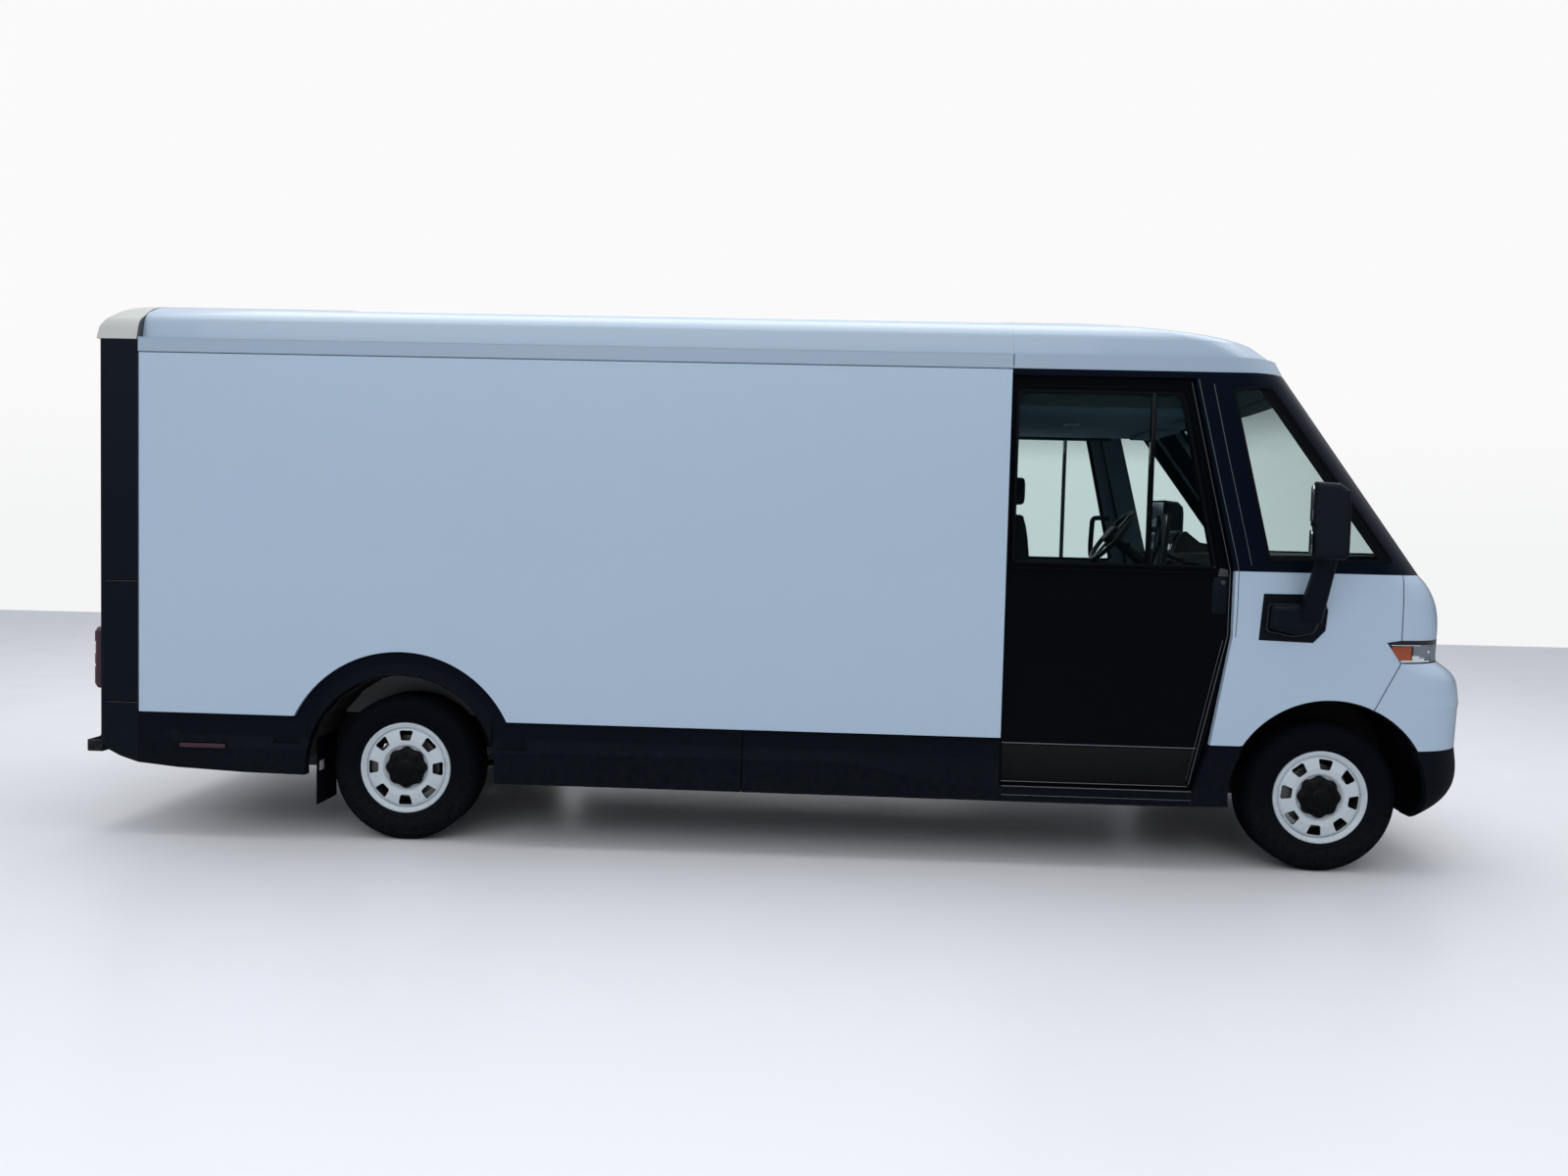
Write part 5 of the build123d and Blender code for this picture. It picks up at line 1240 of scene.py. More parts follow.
def make_seat():
    """Padded cushion and back with their bolsters, piping, head pad and belt buckle."""
    low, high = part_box("seat_cushion")
    middle = (low.y + high.y) / 2
    seat = crowned(rect(low.x + 0.004, low.y + 0.055, high.x - 0.004, high.y - 0.055), low.z + 0.001,
        high.z - 0.016, "Z", 0.012, 0.04)
    bolsters = [crowned(rect(low.x + 0.006, start, high.x - 0.02, end), low.z + 0.001, high.z - 0.012, "Z", 0.01,
        0.025, 6, 0.004) for start, end in ((low.y + 0.002, low.y + 0.066), (high.y - 0.066, high.y - 0.002))]
    cushion = place("seat_cushion_pad", [seat, *bolsters], "seat_cloth", "seat_fabric", angle=60.0)
    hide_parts("seat_cushion")
    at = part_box("seat_base")[0].x - 0.034
    pads = (-0.165, 0.165, 0.0), (-0.232, -0.158, 0.014), (0.158, 0.232, 0.014)
    rest = joined([crowned(rect(middle + y_low, PAD_FOOT, middle + y_high, PAD_TOP), at - 0.0055, at + 0.078 + lift,
        "X", 0.01, 0.035, 8, 0.006) for y_low, y_high, lift in pads])
    for vert in rest.verts:
        vert.co.x -= SEAT_RAKE * (vert.co.z - PAD_FOOT) / (PAD_TOP - PAD_FOOT)
    back = place("seat_back_pad", rest, "seat_cloth", "seat_fabric", angle=60.0)
    shell = cast(rounded([(at + 0.0025, 1.0), (at + 0.0335, 1.0), (at + 0.0335, 1.19), (at + 0.006, 1.25),
        (at - 0.04, 1.81), (at - 0.0655, 1.81), (at - 0.0555, 1.0)], 0.01), middle - 0.222, middle + 0.222,
        bevel=0.01, segments=3)
    place("seat_shell", shell, "dash_black")
    head_pad = crowned(rect(middle - 0.138, 1.852, middle + 0.138, 2.033), at - 0.0295, at + 0.0485, "X", 0.008,
        0.05, 8, 0.01)
    head = place("seat_head_pad", head_pad, "seat_cloth", "seat_fabric", angle=60.0)
    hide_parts("seat_back")
    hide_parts("seat_back")
    place("seat_head_posts", [tube([(at, y, 1.78), (at, y, 1.83), (at, y, 1.87)], 0.0065, 12)
        for y in (middle - 0.06, middle + 0.06)], "bright_trim_and_edge_highlight", "cast_metal")
    seams = [tube([(low.x + 0.05, y, high.z - 0.006), ((low.x + high.x) / 2, y, high.z - 0.003),
        (high.x - 0.05, y, high.z - 0.007)], 0.0022, 8) for y in (middle - 0.1, middle + 0.1)]
    place("seat_seams", seams, "dash_black", "seat_fabric")
    base_low, base_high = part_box("seat_base")
    rails = [block((base_low.x - 0.005, y - 0.018, base_low.z + 0.002),
        (base_high.x + 0.03, y + 0.018, base_low.z + 0.03), 0.003) for y in (base_low.y + 0.03, base_high.y - 0.03)]
    skirt = ring(soft_rect(base_low.x - 0.006, base_low.y - 0.006, base_high.x + 0.006, base_high.y + 0.006, 0.02),
        0.008, base_high.z - 0.13, base_high.z - 0.004, axis="Z", bevel=0.002)
    lever = tube([(base_high.x - 0.06, base_low.y - 0.01, base_high.z - 0.05),
        (base_high.x - 0.03, base_low.y - 0.03, base_high.z - 0.05),
        (base_high.x + 0.07, base_low.y - 0.03, base_high.z - 0.045)], 0.007, 10)
    place("seat_base_trim", [*rails, skirt, lever], "dash_black")
    buckle = block((at + 0.087, low.y - 0.034, 1.08), (at + 0.115, low.y - 0.01, 1.235), 0.006)
    press = block((at + 0.091, low.y - 0.031, 1.2345), (at + 0.111, low.y - 0.013, 1.2405), 0.002)
    place("belt_buckle", buckle, "dash_black")
    place("belt_button", press, "lamp_red")


COLUMN_TILT = radians(51)


def make_steering():
    """Pad and switch pods on the wheel; stalks on the column."""
    low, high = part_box("steering_wheel")
    centre = (low + high) / 2
    axis = Vector((-sin(COLUMN_TILT), 0, cos(COLUMN_TILT)))
    across = Vector((0, 1, 0))
    turn = Matrix((across, axis.cross(across).normalized(), axis)).transposed()

    def settle(shape):
        bmesh.ops.rotate(shape, cent=ORIGIN, matrix=turn, verts=shape.verts)
        return move(shape, centre)
    pad = cast(rounded([(-0.075, -0.055), (0.075, -0.055), (0.06, 0.06), (-0.06, 0.06)], 0.04), 0.0, 0.036,
        axis="Z", bevel=0.01, segments=3)
    place("wheel_pad", settle(pad), "dash_black", body="steering_wheel")
    pods = [cast(rounded([(s * 0.088, -0.022), (s * 0.14, -0.016), (s * 0.14, 0.016), (s * 0.088, 0.022)], 0.01),
        -0.004, 0.013, axis="Z", bevel=0.003) for s in (-1, 1)]
    place("wheel_switches", settle(joined(pods)), "satin_black", "dash_black", body="steering_wheel")
    stalks = []
    for side in (-1, 1):
        root = centre + Vector((0.093, side * 0.034, -0.068))
        tip = centre + Vector((0.058, side * 0.185, -0.046))
        stalks.append(tube([root, root.lerp(tip, 0.5), tip], 0.0065, 10))
        stalks.append(tube([root.lerp(tip, 0.72), root.lerp(tip, 0.85), tip], 0.0095, 12))
    place("column_stalks", stalks, "dash_black")


def make_dash():
    """Cluster, centre screen, vents, shelf lines, switches, pedals, mats and entry treads."""
    driver = 0.48
    slabs = (
        ("cluster_hood", ((2.372, 1.64), (2.384, 1.702), (2.428, 1.722), (2.44, 1.66)), driver - 0.165,
            driver + 0.165, 0.006, "dash_black"),
        ("cluster_screen", ((2.3655, 1.6), (2.37, 1.6), (2.396, 1.686), (2.3915, 1.686)), driver - 0.15,
            driver + 0.15, 0.001, "screen_glass"),
        ("centre_screen", ((2.192, 1.5), (2.212, 1.496), (2.237, 1.806), (2.217, 1.812)), -0.11, 0.118, 0.005,
            "dash_black"),
        ("centre_screen_glass", ((2.1905, 1.514), (2.1925, 1.514), (2.2165, 1.8), (2.214, 1.8)), -0.1, 0.108,
            0.0005, "screen_glass"),
    )
    for name, outline, left, right, bevel, look in slabs:
        place(name, cast(outline, left, right, bevel=bevel), look, "dash_black")
    place("centre_screen_arm", tube([(2.215, 0.0, 1.6), (2.27, 0.0, 1.56), (2.34, 0.0, 1.54)], 0.016, 12),
        "dash_black")
    vents, louvres = [], []
    for y in (-0.8, -0.26, 0.24, 0.8):
        vents.append(ring(soft_rect(y - 0.062, 1.47, y + 0.062, 1.535, 0.012), 0.007, 2.292, 2.335, axis="X",
            bevel=0.0015))
        for z in spaced(1.482, 0.013, 4):
            louvres.append(block((2.302, y - 0.056, z), (2.33, y + 0.056, z + 0.003), 0.0008, 1))
    place("dash_vents", vents + louvres, "satin_black", "dash_black")
    shelf = [
        block((2.281, -0.9, 1.405), (2.292, 0.9, 1.413), 0.002),
        block((2.278, -0.9, 1.3), (2.288, -0.15, 1.306), 0.002),
        panel(-0.88, 1.215, -0.18, 1.29, 0.02, 2.29, 2.3065, axis="X", bevel=0.003),
    ]
    place("dash_lines", shelf, "dash_black")
    keys = [panel(y - 0.018, 1.425, y + 0.018, 1.45, 0.004, 2.282, 2.292, axis="X", bevel=0.0015)
        for y in (-0.1, -0.055, -0.01, 0.035, 0.08, 0.7, 0.745)]
    place("dash_switches", keys, "satin_black", "dash_black")
    treads = (
        (((0.415, 0.745), (0.475, 0.745), (0.47, 0.885), (0.42, 0.885)), 2.375, 2.39),
        (((0.535, 0.76), (0.635, 0.76), (0.63, 0.845), (0.54, 0.845)), 2.345, 2.362),
    )
    place("pedal_pads", [cast(rounded(outline, 0.012), start, end, axis="X", bevel=0.003)
        for outline, start, end in treads], "tyre_rubber", "dash_black")
    levers = [
        tube([(2.386, 0.445, 0.8), (2.43, 0.445, 0.98), (2.45, 0.445, 1.2)], 0.008, 10),
        tube([(2.358, 0.585, 0.8), (2.42, 0.585, 0.98), (2.45, 0.585, 1.2)], 0.009, 10),
    ]
    place("pedal_levers", levers, "chassis_black")
    mats = []
    for y_low, y_high in ((0.28, 0.72), (-0.25, 0.22)):
        mats.append(panel(1.66, y_low, 2.34, y_high, 0.04, 0.6455, 0.6515, axis="Z", bevel=0.0015))
        for x in spaced(1.7, 0.052, 12):
            mats.append(block((x, y_low + 0.03, 0.651), (x + 0.016, y_high - 0.03, 0.6545), 0.001, 1))
    place("cab_mats", mats, "tyre_rubber")
    pair("entry_treads", [block((x, -0.965, 0.4155), (x + 0.06, -0.72, 0.4185), 0.001, 1)
        for x in spaced(1.3, 0.1, 7)], "tyre_rubber")


def make_ceiling():
    """Headliner, header covers over both doorways, sun visors, cab light and the driver's grab bar."""
    cover = cast([(0.905, 2.335), (0.915, 2.316), (0.985, 2.316), (0.99, 2.4), (0.905, 2.4)], 1.15, 2.12, axis="X",
        bevel=0.004)
    for vert in cover.verts:
        vert.co.y = -vert.co.y
    bmesh.ops.reverse_faces(cover, faces=cover.faces)
    pair("doorway_cover", cover, "dash_black")
    grab = tube([(2.135, 0.955, 1.8), (2.06, 0.935, 1.802), (2.024, 0.93, 1.796), (2.02, 0.93, 1.74),
        (2.014, 0.93, 1.6), (2.022, 0.93, 1.53), (2.07, 0.935, 1.5), (2.16, 0.955, 1.49)], 0.0165, 12)
    place("driver_grab_bar", grab, "dash_black")
    place("cab_headliner", panel(1.2, -0.86, 2.36, 0.86, 0.12, 2.325, 2.337, axis="Z", bevel=0.004), "headliner",
        "liner_grey")
    place("sun_visors", [panel(2.195, y - 0.3, 2.35, y + 0.3, 0.03, 2.306, 2.323, axis="Z", bevel=0.007)
        for y in (-0.45, 0.45)], "headliner", "liner_grey")
    place("cab_light", panel(1.62, -0.07, 1.71, 0.07, 0.02, 2.317, 2.326, axis="Z", bevel=0.003), "lamp_clear")


def make_cargo():
    """Shelf rails, lining ribs, lamps and floor strips in the load space."""
    rails = [block((-3.15, -1.01, z), (0.1, -0.996, z + 0.03), 0.003, 1) for z in (0.95, 1.45, 1.95)]
    for x in spaced(-3.1, 0.39, 9):
        foot = 0.91 if abs(x - rear_x) < 0.62 else 0.72
        rails.append(block((x, -1.01, foot), (x + 0.03, -0.998, 2.38), 0.003, 1))
    pair("cargo_rails", rails, "unit_alloy", "liner_grey")
    pair("cargo_lamps", [block((-3.1, -0.955, 2.36), (0.95, -0.925, 2.375), 0.003, 1)], "lamp_white", "lamp_clear")
    place("cargo_floor_strips", [block((-3.22, y - 0.02, 0.68), (1.0, y + 0.02, 0.684), 0.0015, 1)
        for y in (-0.75, -0.45, -0.15, 0.15, 0.45, 0.75)], "unit_alloy", "floor_grey")


def make_bulkhead():
    """Panels and pull of the bulkhead's sliding door."""
    low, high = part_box("bulkhead_door")
    ribs = [panel(-0.28, z, 0.28, z + 0.3, 0.03, side_x, side_x + 0.004, axis="X", bevel=0.0015)
        for side_x in (low.x - 0.003, high.x - 0.001) for z in spaced(0.8, 0.36, 4)]
    place("bulkhead_door_panels", ribs, "door_grey", body="bulkhead_door")
    pull = tube([(high.x + 0.001, -0.29, 1.42), (high.x + 0.016, -0.29, 1.44), (high.x + 0.016, -0.29, 1.6),
        (high.x + 0.001, -0.29, 1.62)], 0.006, 10)
    place("bulkhead_door_pull", pull, "satin_black", "door_grey", body="bulkhead_door")


# ---- Underside -----------------------------------------------------------------------------------
def coil(centre, radius, height, turns, wire):
    """A standing coil spring."""
    steps = int(turns * 12)
    x, y, z = centre
    return tube([(x + radius * cos(tau * turns * i / steps), y + radius * sin(tau * turns * i / steps),
        z + height * i / steps) for i in range(steps + 1)], wire, 8)


def damper(foot, head, thick):
    """A telescopic damper: a stout lower tube, a thin rod and a dust cover."""
    foot, head = Vector(foot), Vector(head)
    return joined([tube([foot, foot.lerp(head, 0.27), foot.lerp(head, 0.55)], thick, 16),
        tube([foot.lerp(head, 0.5), foot.lerp(head, 0.75), head], thick * 0.42, 12),
        tube([foot.lerp(head, 0.6), foot.lerp(head, 0.78), foot.lerp(head, 0.95)], thick * 1.16, 16)])


# a leaf clamp's bar as (across, height)
LEAF_CLAMP = ((-0.046, 0.245), (-0.046, 0.405), (-0.040, 0.428), (0.040, 0.428), (0.046, 0.405), (0.046, 0.245))


def make_suspension():
    """Coil springs and dampers in front; leaf clamps, dampers and bump stops behind."""
    place("front_coils", [coil(Vector((front_x, side * 0.6, 0.292)), 0.052, 0.26, 5.5, 0.0075) for side in (-1, 1)],
        "battery_grey", "cast_metal")
    struts = [damper((front_x, side * 0.6, 0.285), (front_x, side * 0.575, 0.6), 0.024) for side in (-1, 1)]
    caps = [spun([(0.0, 0.0), (0.062, 0.0), (0.066, 0.006), (0.06, 0.014), (0.0, 0.016)],
        (front_x, side * 0.6, 0.545), 32, axis="Z") for side in (-1, 1)]
    place("front_dampers", struts + caps, "satin_black", "cast_metal")
    bar = tube([(front_x - 0.2, -0.565, 0.33), (front_x - 0.34, -0.55, 0.3), (front_x - 0.42, -0.46, 0.285),
        (front_x - 0.42, 0.46, 0.285), (front_x - 0.34, 0.55, 0.3), (front_x - 0.2, 0.565, 0.33)], 0.012, 12)
    place("sway_bar", bar, "chassis_black")
    x, z = front_x - 0.13, 0.372
    rack = tube([(x, -0.5, z), (x, 0.0, z), (x, 0.5, z)], 0.03, 16)
    boots = []
    for side in (-1, 1):
        folds = [(0.03 if step % 2 else 0.023, side * (0.49 + step * 0.01)) for step in range(13)]
        boots.append(spun([(0.0, side * 0.49), *folds, (0.0, side * 0.61)], (x, 0, z), 28))
        boots.append(tube([(x, side * 0.6, z), (x, side * 0.62, z), (x + 0.002, side * 0.64, 0.371)], 0.009, 10))
    place("steering_rack", [rack, *boots], "chassis_black")
    clamps, stops = [], []
    for side in (-1, 1):
        y = side * 0.64
        for dx in (-0.045, 0.045):
            clamps.append(tube([(rear_x + dx, y + dy, z) for dy, z in LEAF_CLAMP], 0.008, 10))
        clamps.append(block((rear_x - 0.075, y - 0.058, 0.262), (rear_x + 0.075, y + 0.058, 0.276), 0.004))
        for row in range(3):
            reach = 0.42 - row * 0.11
            z = 0.3 - row * 0.0085
            edge = [(-reach, 0.05), (-0.06, -0.006), (0.06, -0.006), (reach, 0.05), (reach, 0.042), (0.06, -0.013),
                (-0.06, -0.013), (-reach, 0.042)]
            clamps.append(cast([(rear_x + dx, z + dz) for dx, dz in edge], y - 0.033, y + 0.033, bevel=0.001,
                segments=1))
        stops.append(spun([(0.0, 0.0), (0.034, 0.0), (0.03, 0.02), (0.034, 0.026), (0.024, 0.052), (0.0, 0.058)],
            (rear_x, side * 0.54, 0.462), 28, axis="Z"))
    place("leaf_clamps", clamps, "chassis_black")
    place("bump_stops", stops, "tyre_rubber")
    place("rear_dampers", [damper((rear_x - 0.06, side * 0.56, 0.345), (rear_x - 0.34, side * 0.52, 0.56), 0.026)
        for side in (-1, 1)], "satin_black", "cast_metal")


def make_driveline():
    """Half shafts with their boots, fins of the drive units, pipes and orange cables."""
    shafts = []
    for side in (-1, 1):
        shafts.append(tube([(front_x + 0.02, side * 0.34, 0.43), (front_x, side * 0.5, 0.41),
            (front_x, side * 0.83, 0.385)], 0.016, 12))
        for start, z in ((0.37, 0.425), (0.735, 0.392)):
            folds = [((0.046 if step % 2 else 0.036) - 0.002 * step, start + step * 0.009) for step in range(9)]
            profile = [(0.0, start), *folds, (0.0, start + 0.08)]
            shafts.append(spun([(radius, side * along) for radius, along in profile], (front_x + 0.01, 0, z), 28))
    place("half_shafts", shafts, "chassis_black")
    fins = []
    for y in spaced(-0.26, 0.065, 9):
        fins.append(block((rear_x + 0.15, y - 0.006, 0.292), (rear_x + 0.44, y + 0.006, 0.304), 0.002, 1))
        fins.append(block((front_x - 0.12, y - 0.006, 0.337), (front_x + 0.19, y + 0.006, 0.349), 0.002, 1))
    place("unit_fins", fins, "unit_alloy")
    runs = (
        (front_x, -0.18, ((0.05, 0.0, 0.585), (-0.35, -0.08, 0.575), (-0.7, -0.18, 0.545), (-0.86, -0.2, 0.505))),
        (rear_x, -0.16, ((0.4, 0.0, 0.5), (0.56, -0.06, 0.505), (0.73, -0.1, 0.49))),
    )
    cables = [tube([(x + along, y + gap + across, z) for along, across, z in run], 0.0095, 12)
        for x, y, run in runs for gap in (0.0, 0.04)]
    place("power_cables", cables, "cable_orange", "cast_metal")
    line = ((front_x - 0.3, 0.515, 0.6), (1.2, 0.515, 0.6), (-0.6, 0.515, 0.6), (rear_x + 0.3, 0.515, 0.6),
        (rear_x + 0.05, 0.55, 0.56), (rear_x, 0.6, 0.45))
    place("brake_pipes", [tube([(x, y + gap, z) for x, y, z in line], 0.0035, 8) for gap in (0.0, 0.014)],
        "cast_metal")


def make_battery():
    """Ribs, edge flange, bolts and crash rails of the battery pack."""
    low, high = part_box("battery_pack")
    ribs = [block((low.x + 0.12 + row * 0.255, low.y + 0.045, low.z - 0.004),
        (low.x + 0.19 + row * 0.255, high.y - 0.045, low.z + 0.004), 0.002, 1) for row in range(12)]
    place("battery_ribs", ribs, "battery_grey")
    flange = ring(soft_rect(low.x - 0.018, low.y - 0.018, high.x + 0.018, high.y + 0.018, 0.08), 0.024, 0.47, 0.482,
        axis="Z", bevel=0.002)
    place("battery_flange", flange, "battery_grey")
    bolts = [spun([(0.0, -0.008), (0.008, -0.008), (0.0095, -0.006), (0.0095, 0.0), (0.0, 0.0)],
        (x, side * (high.y + 0.006), 0.47), 6, axis="Z") for side in (-1, 1)
        for x in spaced(low.x + 0.09, 0.171, 18)]
    place("battery_bolts", bolts, "cast_metal")
    rails = []
    for side in (-1, 1):
        near, far = sorted((side * 0.7, side * 0.735))
        rails.append(block((low.x + 0.05, near, 0.4), (high.x - 0.05, far, 0.455), 0.006))
        near, far = sorted((side * 0.655, side * 0.715))
        rails += [block((x, near, 0.415), (x + 0.06, far, 0.445), 0.003, 1) for x in spaced(low.x + 0.3, 0.5, 6)]
    place("crash_rails", rails, "chassis_black")


# ---- Camera, floor and lamps ---------------------------------------------------------------------
CAMERA_AT = (0.2400, -6.7591, 1.6185)
CAMERA_TURN = (-0.0358, 0.0447, 0.025)    # yaw, pitch and roll in radians


def make_camera():
    """The camera, at a standing height off the right side of the van."""
    yaw, pitch, roll = CAMERA_TURN
    ahead = Vector((sin(yaw) * cos(pitch), cos(yaw) * cos(pitch), -sin(pitch)))
    level = Vector((cos(yaw), -sin(yaw), 0.0))
    above = level.cross(ahead)
    right = cos(roll) * level + sin(roll) * above
    up = -sin(roll) * level + cos(roll) * above
    lens = bpy.data.cameras.new("camera")
    lens.lens = 26.03
    lens.sensor_width = 36.0
    lens.clip_end = 400.0
    camera = bpy.data.objects.new("camera", lens)
    turn = Matrix((right, up, -ahead)).transposed().to_4x4()
    camera.matrix_world = Matrix.Translation(CAMERA_AT) @ turn
    bpy.context.scene.collection.objects.link(camera)
    bpy.context.scene.camera = camera


def lamp(name, at, towards, size, watts, tint=(1, 1, 1)):
    light = bpy.data.lights.new(name, "AREA")
    light.shape = "RECTANGLE"
    light.size, light.size_y = size
    light.energy = watts
    light.color = tint
    holder = bpy.data.objects.new(name, light)
    holder.location = at
    holder.rotation_mode = "QUATERNION"
    holder.rotation_quaternion = (Vector(towards) - Vector(at)).to_track_quat("-Z", "Y")
    bpy.context.scene.collection.objects.link(holder)


def make_floor():
    """A pale floor whose far edge lies where the sweep of the backdrop starts."""
    shape = bmesh.new()
    corners = [shape.verts.new(point) for point in ((-70, -60, 0), (70, -60, 0), (70, 16.5, 0), (-70, 10.1, 0))]
    shape.faces.new(corners)
    bmesh.ops.subdivide_edges(shape, edges=shape.edges[:], cuts=3, use_grid_fill=True)
    mesh = bpy.data.meshes.new("studio_floor")
    shape.to_mesh(mesh)
    shape.free()
    floor = bpy.data.objects.new("studio_floor", mesh)
    bpy.context.scene.collection.objects.link(floor)
    material = finish("studio_floor", (0.82, 0.8, 0.815), 0.34, tone=0.012, tone_size=0.3, rough_shift=0.03,
        specular=0.3)
    tree = material.node_tree
    shader = tree.nodes["Principled BSDF"]
    pale = shader.inputs["Base Color"].links[0].from_socket
    # in what the van mirrors, the pale floor shows dark: painted reflection
    mirrored_ray = add(tree, "LightPath").outputs["Is Glossy Ray"]
    tree.links.new(mix_colour(tree, mirrored_ray, pale, (0.1, 0.105, 0.12)), shader.inputs["Base Color"])
    mesh.materials.append(material)


def make_world():
    """A pale room: white to the eye, a soft graded light, and dark low down in what it mirrors."""
    world = bpy.data.worlds.new("room")
    bpy.context.scene.world = world
    world.use_nodes = True
    tree = world.node_tree
    ground = tree.nodes["Background"]
    height = add(tree, "SeparateXYZ", Vector=add(tree, "TexCoord").outputs["Generated"]).outputs["Z"]

    def graded(low, high, start, end):
        return mix_colour(tree, smooth_step(tree, height, start, end), low, high)
    light = graded((0.2, 0.215, 0.235), (0.8, 0.85, 0.92), -0.05, 0.75)
    glossy = graded((0.05, 0.055, 0.065), (0.85, 0.9, 0.96), 0.02, 0.55)
    seen = graded((0.905, 0.91, 0.915), (0.955, 0.955, 0.955), -0.03, 0.12)
    path = add(tree, "LightPath")
    lit = mix_colour(tree, path.outputs["Is Glossy Ray"], light, glossy)
    through = maths(tree, "MAXIMUM", path.outputs["Is Camera Ray"], path.outputs["Is Transmission Ray"])
    feed(tree, ground, dict(Color=mix_colour(tree, through, lit, seen), Strength=1.0))


def make_lamps():
    lamp("overhead", (0.0, 1.0, 8.0), (0.0, 0.3, 0.0), (13.0, 8.0), 470.0)
    lamp("side_fill", (-2.0, -10.0, 6.5), (0.0, 0.0, 1.2), (12.0, 4.0), 200.0, (0.95, 0.98, 1.0))
    lamp("back_fill", (-2.0, 11.0, 5.0), (0.0, 0.0, 1.2), (10.0, 4.0), 160.0)


# ---- Operators ------------------------------------------------------------------------------------
class VAN_OT_finishes(bpy.types.Operator):
    """Makes every finish and gives the CAD nodes theirs"""
    bl_idname = "van.finishes"
    bl_label = "Finishes"

    def execute(self, context):
        make_finishes(context.scene.van_finishes)
        dress_nodes()
        return {"FINISHED"}


class VAN_OT_wheels(bpy.types.Operator):
    """Tyres, caps, rim lips and brakes"""
    bl_idname = "van.wheels"
    bl_label = "Wheels"

    def execute(self, context):
        make_wheels(context.scene.van_sizes)
        return {"FINISHED"}


class VAN_OT_doors(bpy.types.Operator):
    """Seals, kick panels, trims and cards of the side doors"""
    bl_idname = "van.doors"
    bl_label = "Side doors"

    def execute(self, context):
        make_doors(context.scene.van_sizes)
        return {"FINISHED"}


class VAN_OT_pillars(bpy.types.Operator):
    """Glass seals, bright lines that stand for edge highlights, rail beads and reflectors"""
    bl_idname = "van.pillars"
    bl_label = "Pillars and rails"

    def execute(self, context):
        make_pillars(context.scene.van_sizes)
        return {"FINISHED"}


class VAN_OT_arches(bpy.types.Operator):
    """Liners and flap plates in the wheel arches"""
    bl_idname = "van.arches"
    bl_label = "Wheel arches"

    def execute(self, context):
        make_arches()
        return {"FINISHED"}


class VAN_OT_mirrors(bpy.types.Operator):
    """Glass and joint lines of the door mirrors"""
    bl_idname = "van.mirrors"
    bl_label = "Mirrors"

    def execute(self, context):
        make_mirrors()
        return {"FINISHED"}


class VAN_OT_front_lamps(bpy.types.Operator):
    """Lenses and strips of the headlamps and the band between them"""
    bl_idname = "van.front_lamps"
    bl_label = "Front lamps"

    def execute(self, context):
        make_lamps_front()
        return {"FINISHED"}


class VAN_OT_bumper(bpy.types.Operator):
    """Grille ribs, intake, sensors and blank plate"""
    bl_idname = "van.bumper"
    bl_label = "Bumper"

    def execute(self, context):
        make_bumper()
        return {"FINISHED"}


class VAN_OT_glazing(bpy.types.Operator):
    """Windshield border, wiper blades and cowl slots"""
    bl_idname = "van.glazing"
    bl_label = "Windshield"

    def execute(self, context):
        make_glass_edges()
        make_wipers()
        make_nose()
        return {"FINISHED"}


class VAN_OT_rear_door(bpy.types.Operator):
    """Slat panels, handle and seal of the roll-up door"""
    bl_idname = "van.rear_door"
    bl_label = "Rear door"

    def execute(self, context):
        make_rear_door(context.scene.van_sizes)
        return {"FINISHED"}


class VAN_OT_portal(bpy.types.Operator):
    """Lamps, bars, plate and trims of the rear portal"""
    bl_idname = "van.portal"
    bl_label = "Rear portal"

    def execute(self, context):
        make_portal()
        make_cap()
        make_step()
        return {"FINISHED"}


class VAN_OT_seat(bpy.types.Operator):
    """Padded driver's seat with its shell, posts and rails"""
    bl_idname = "van.seat"
    bl_label = "Seat"

    def execute(self, context):
        make_seat()
        return {"FINISHED"}


class VAN_OT_cab(bpy.types.Operator):
    """Wheel pad, screens, vents, pedals, mats, ceiling and visors of the cab"""
    bl_idname = "van.cab"
    bl_label = "Cab inside"

    def execute(self, context):
        make_steering()
        make_dash()
        make_ceiling()
        return {"FINISHED"}


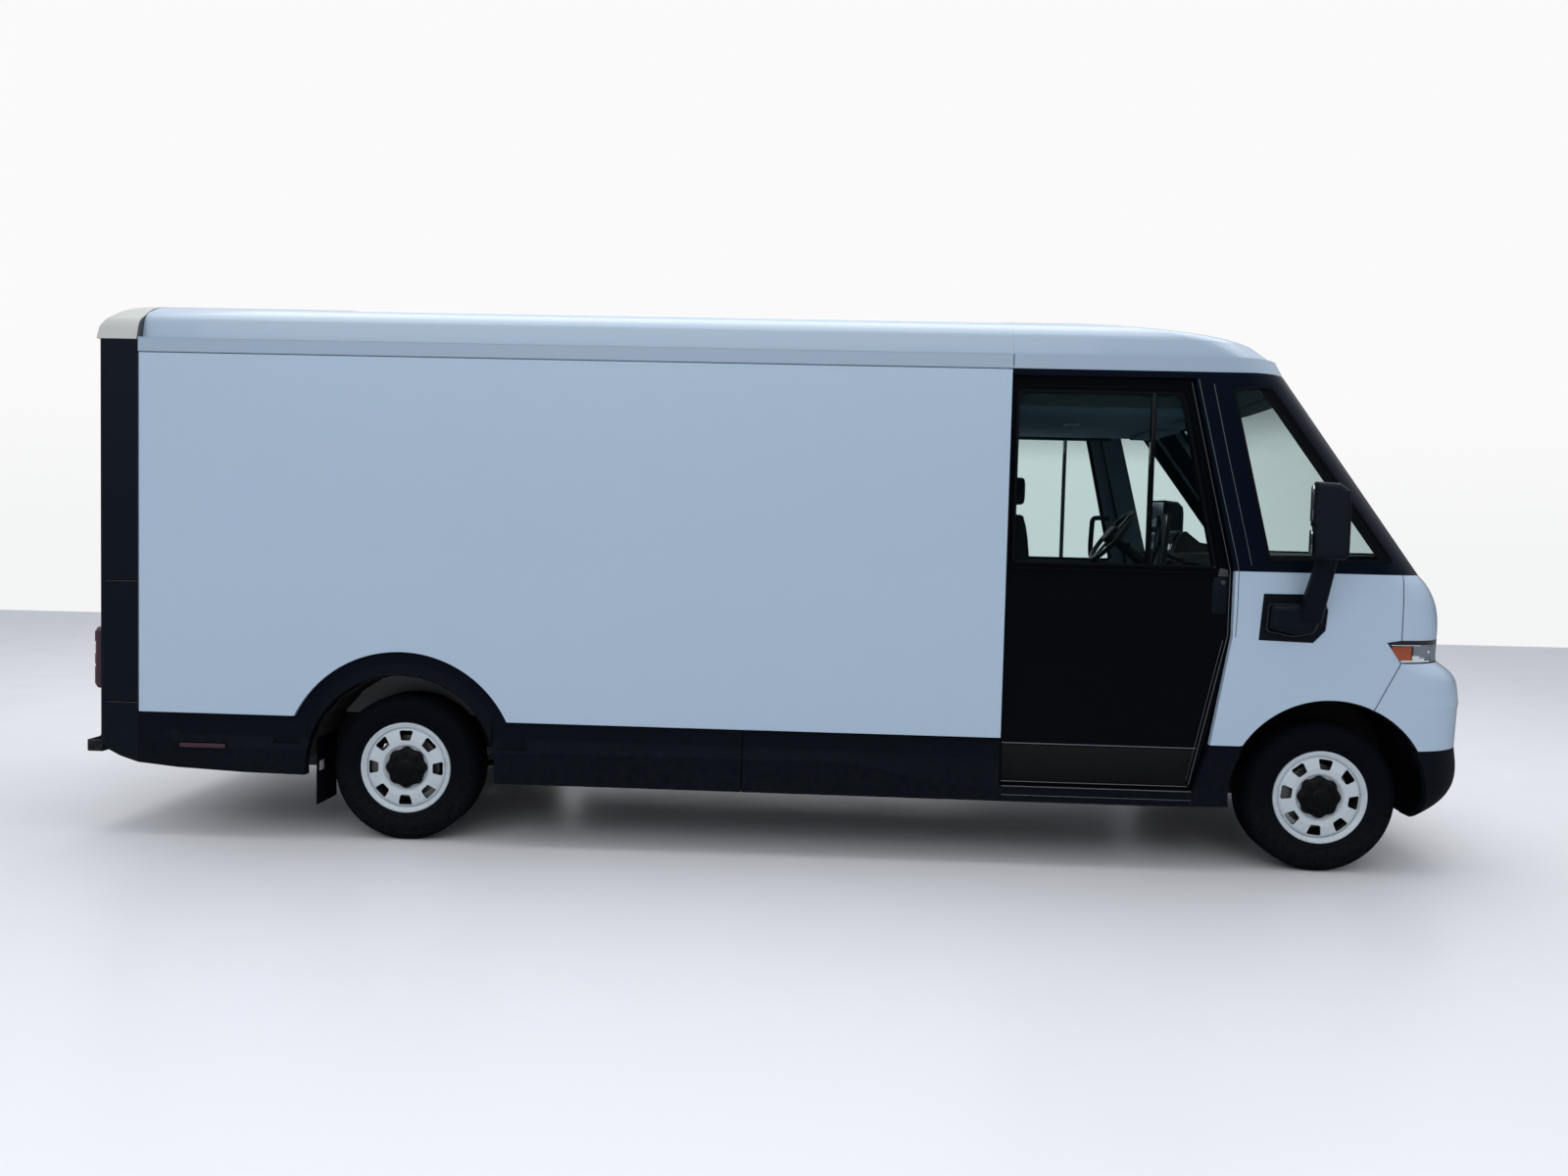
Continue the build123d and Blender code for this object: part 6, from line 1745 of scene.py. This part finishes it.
class VAN_OT_cargo(bpy.types.Operator):
    """Rails, lamps and floor strips of the load space and its bulkhead door"""
    bl_idname = "van.cargo"
    bl_label = "Load space"

    def execute(self, context):
        make_cargo()
        make_bulkhead()
        return {"FINISHED"}


class VAN_OT_underside(bpy.types.Operator):
    """Springs, dampers, shafts, pipes, cables and the battery's ribs, flange, bolts and rails under the floor"""
    bl_idname = "van.underside"
    bl_label = "Underside"

    def execute(self, context):
        make_suspension()
        make_driveline()
        make_battery()
        return {"FINISHED"}


class VAN_OT_studio(bpy.types.Operator):
    """Makes the camera, the floor, the room and its lamps"""
    bl_idname = "van.studio"
    bl_label = "Studio"

    def execute(self, context):
        context.scene.view_settings.view_transform = "Standard"
        make_camera()
        make_floor()
        make_world()
        make_lamps()
        return {"FINISHED"}


OPERATORS = (VAN_OT_finishes, VAN_OT_wheels, VAN_OT_doors, VAN_OT_pillars, VAN_OT_arches, VAN_OT_mirrors,
             VAN_OT_front_lamps, VAN_OT_bumper, VAN_OT_glazing, VAN_OT_rear_door, VAN_OT_portal,
             VAN_OT_seat, VAN_OT_cab, VAN_OT_cargo, VAN_OT_underside, VAN_OT_studio)


class VAN_PT_looks(bpy.types.Panel):
    """Lists the steps that build the van's looks"""
    bl_idname = "VAN_PT_looks"
    bl_label = "Van"
    bl_space_type = "VIEW_3D"
    bl_region_type = "UI"
    bl_category = "Van"

    def draw(self, context):
        for group in (context.scene.van_finishes, context.scene.van_sizes):
            column = self.layout.column()
            for key in group.__annotations__:
                column.prop(group, key)
        for operator in OPERATORS:
            self.layout.operator(operator.bl_idname)


CLASSES = (VanFinishes, VanSizes, *OPERATORS, VAN_PT_looks)


def register():
    for each in CLASSES:
        bpy.utils.register_class(each)
    bpy.types.Scene.van_finishes = PointerProperty(type=VanFinishes)
    bpy.types.Scene.van_sizes = PointerProperty(type=VanSizes)


def unregister():
    del bpy.types.Scene.van_sizes
    del bpy.types.Scene.van_finishes
    for each in reversed(CLASSES):
        bpy.utils.unregister_class(each)


def main():
    register()
    for operator in OPERATORS:
        getattr(bpy.ops.van, operator.bl_idname.split(".")[1])()


if __name__ == "__main__":
    main()
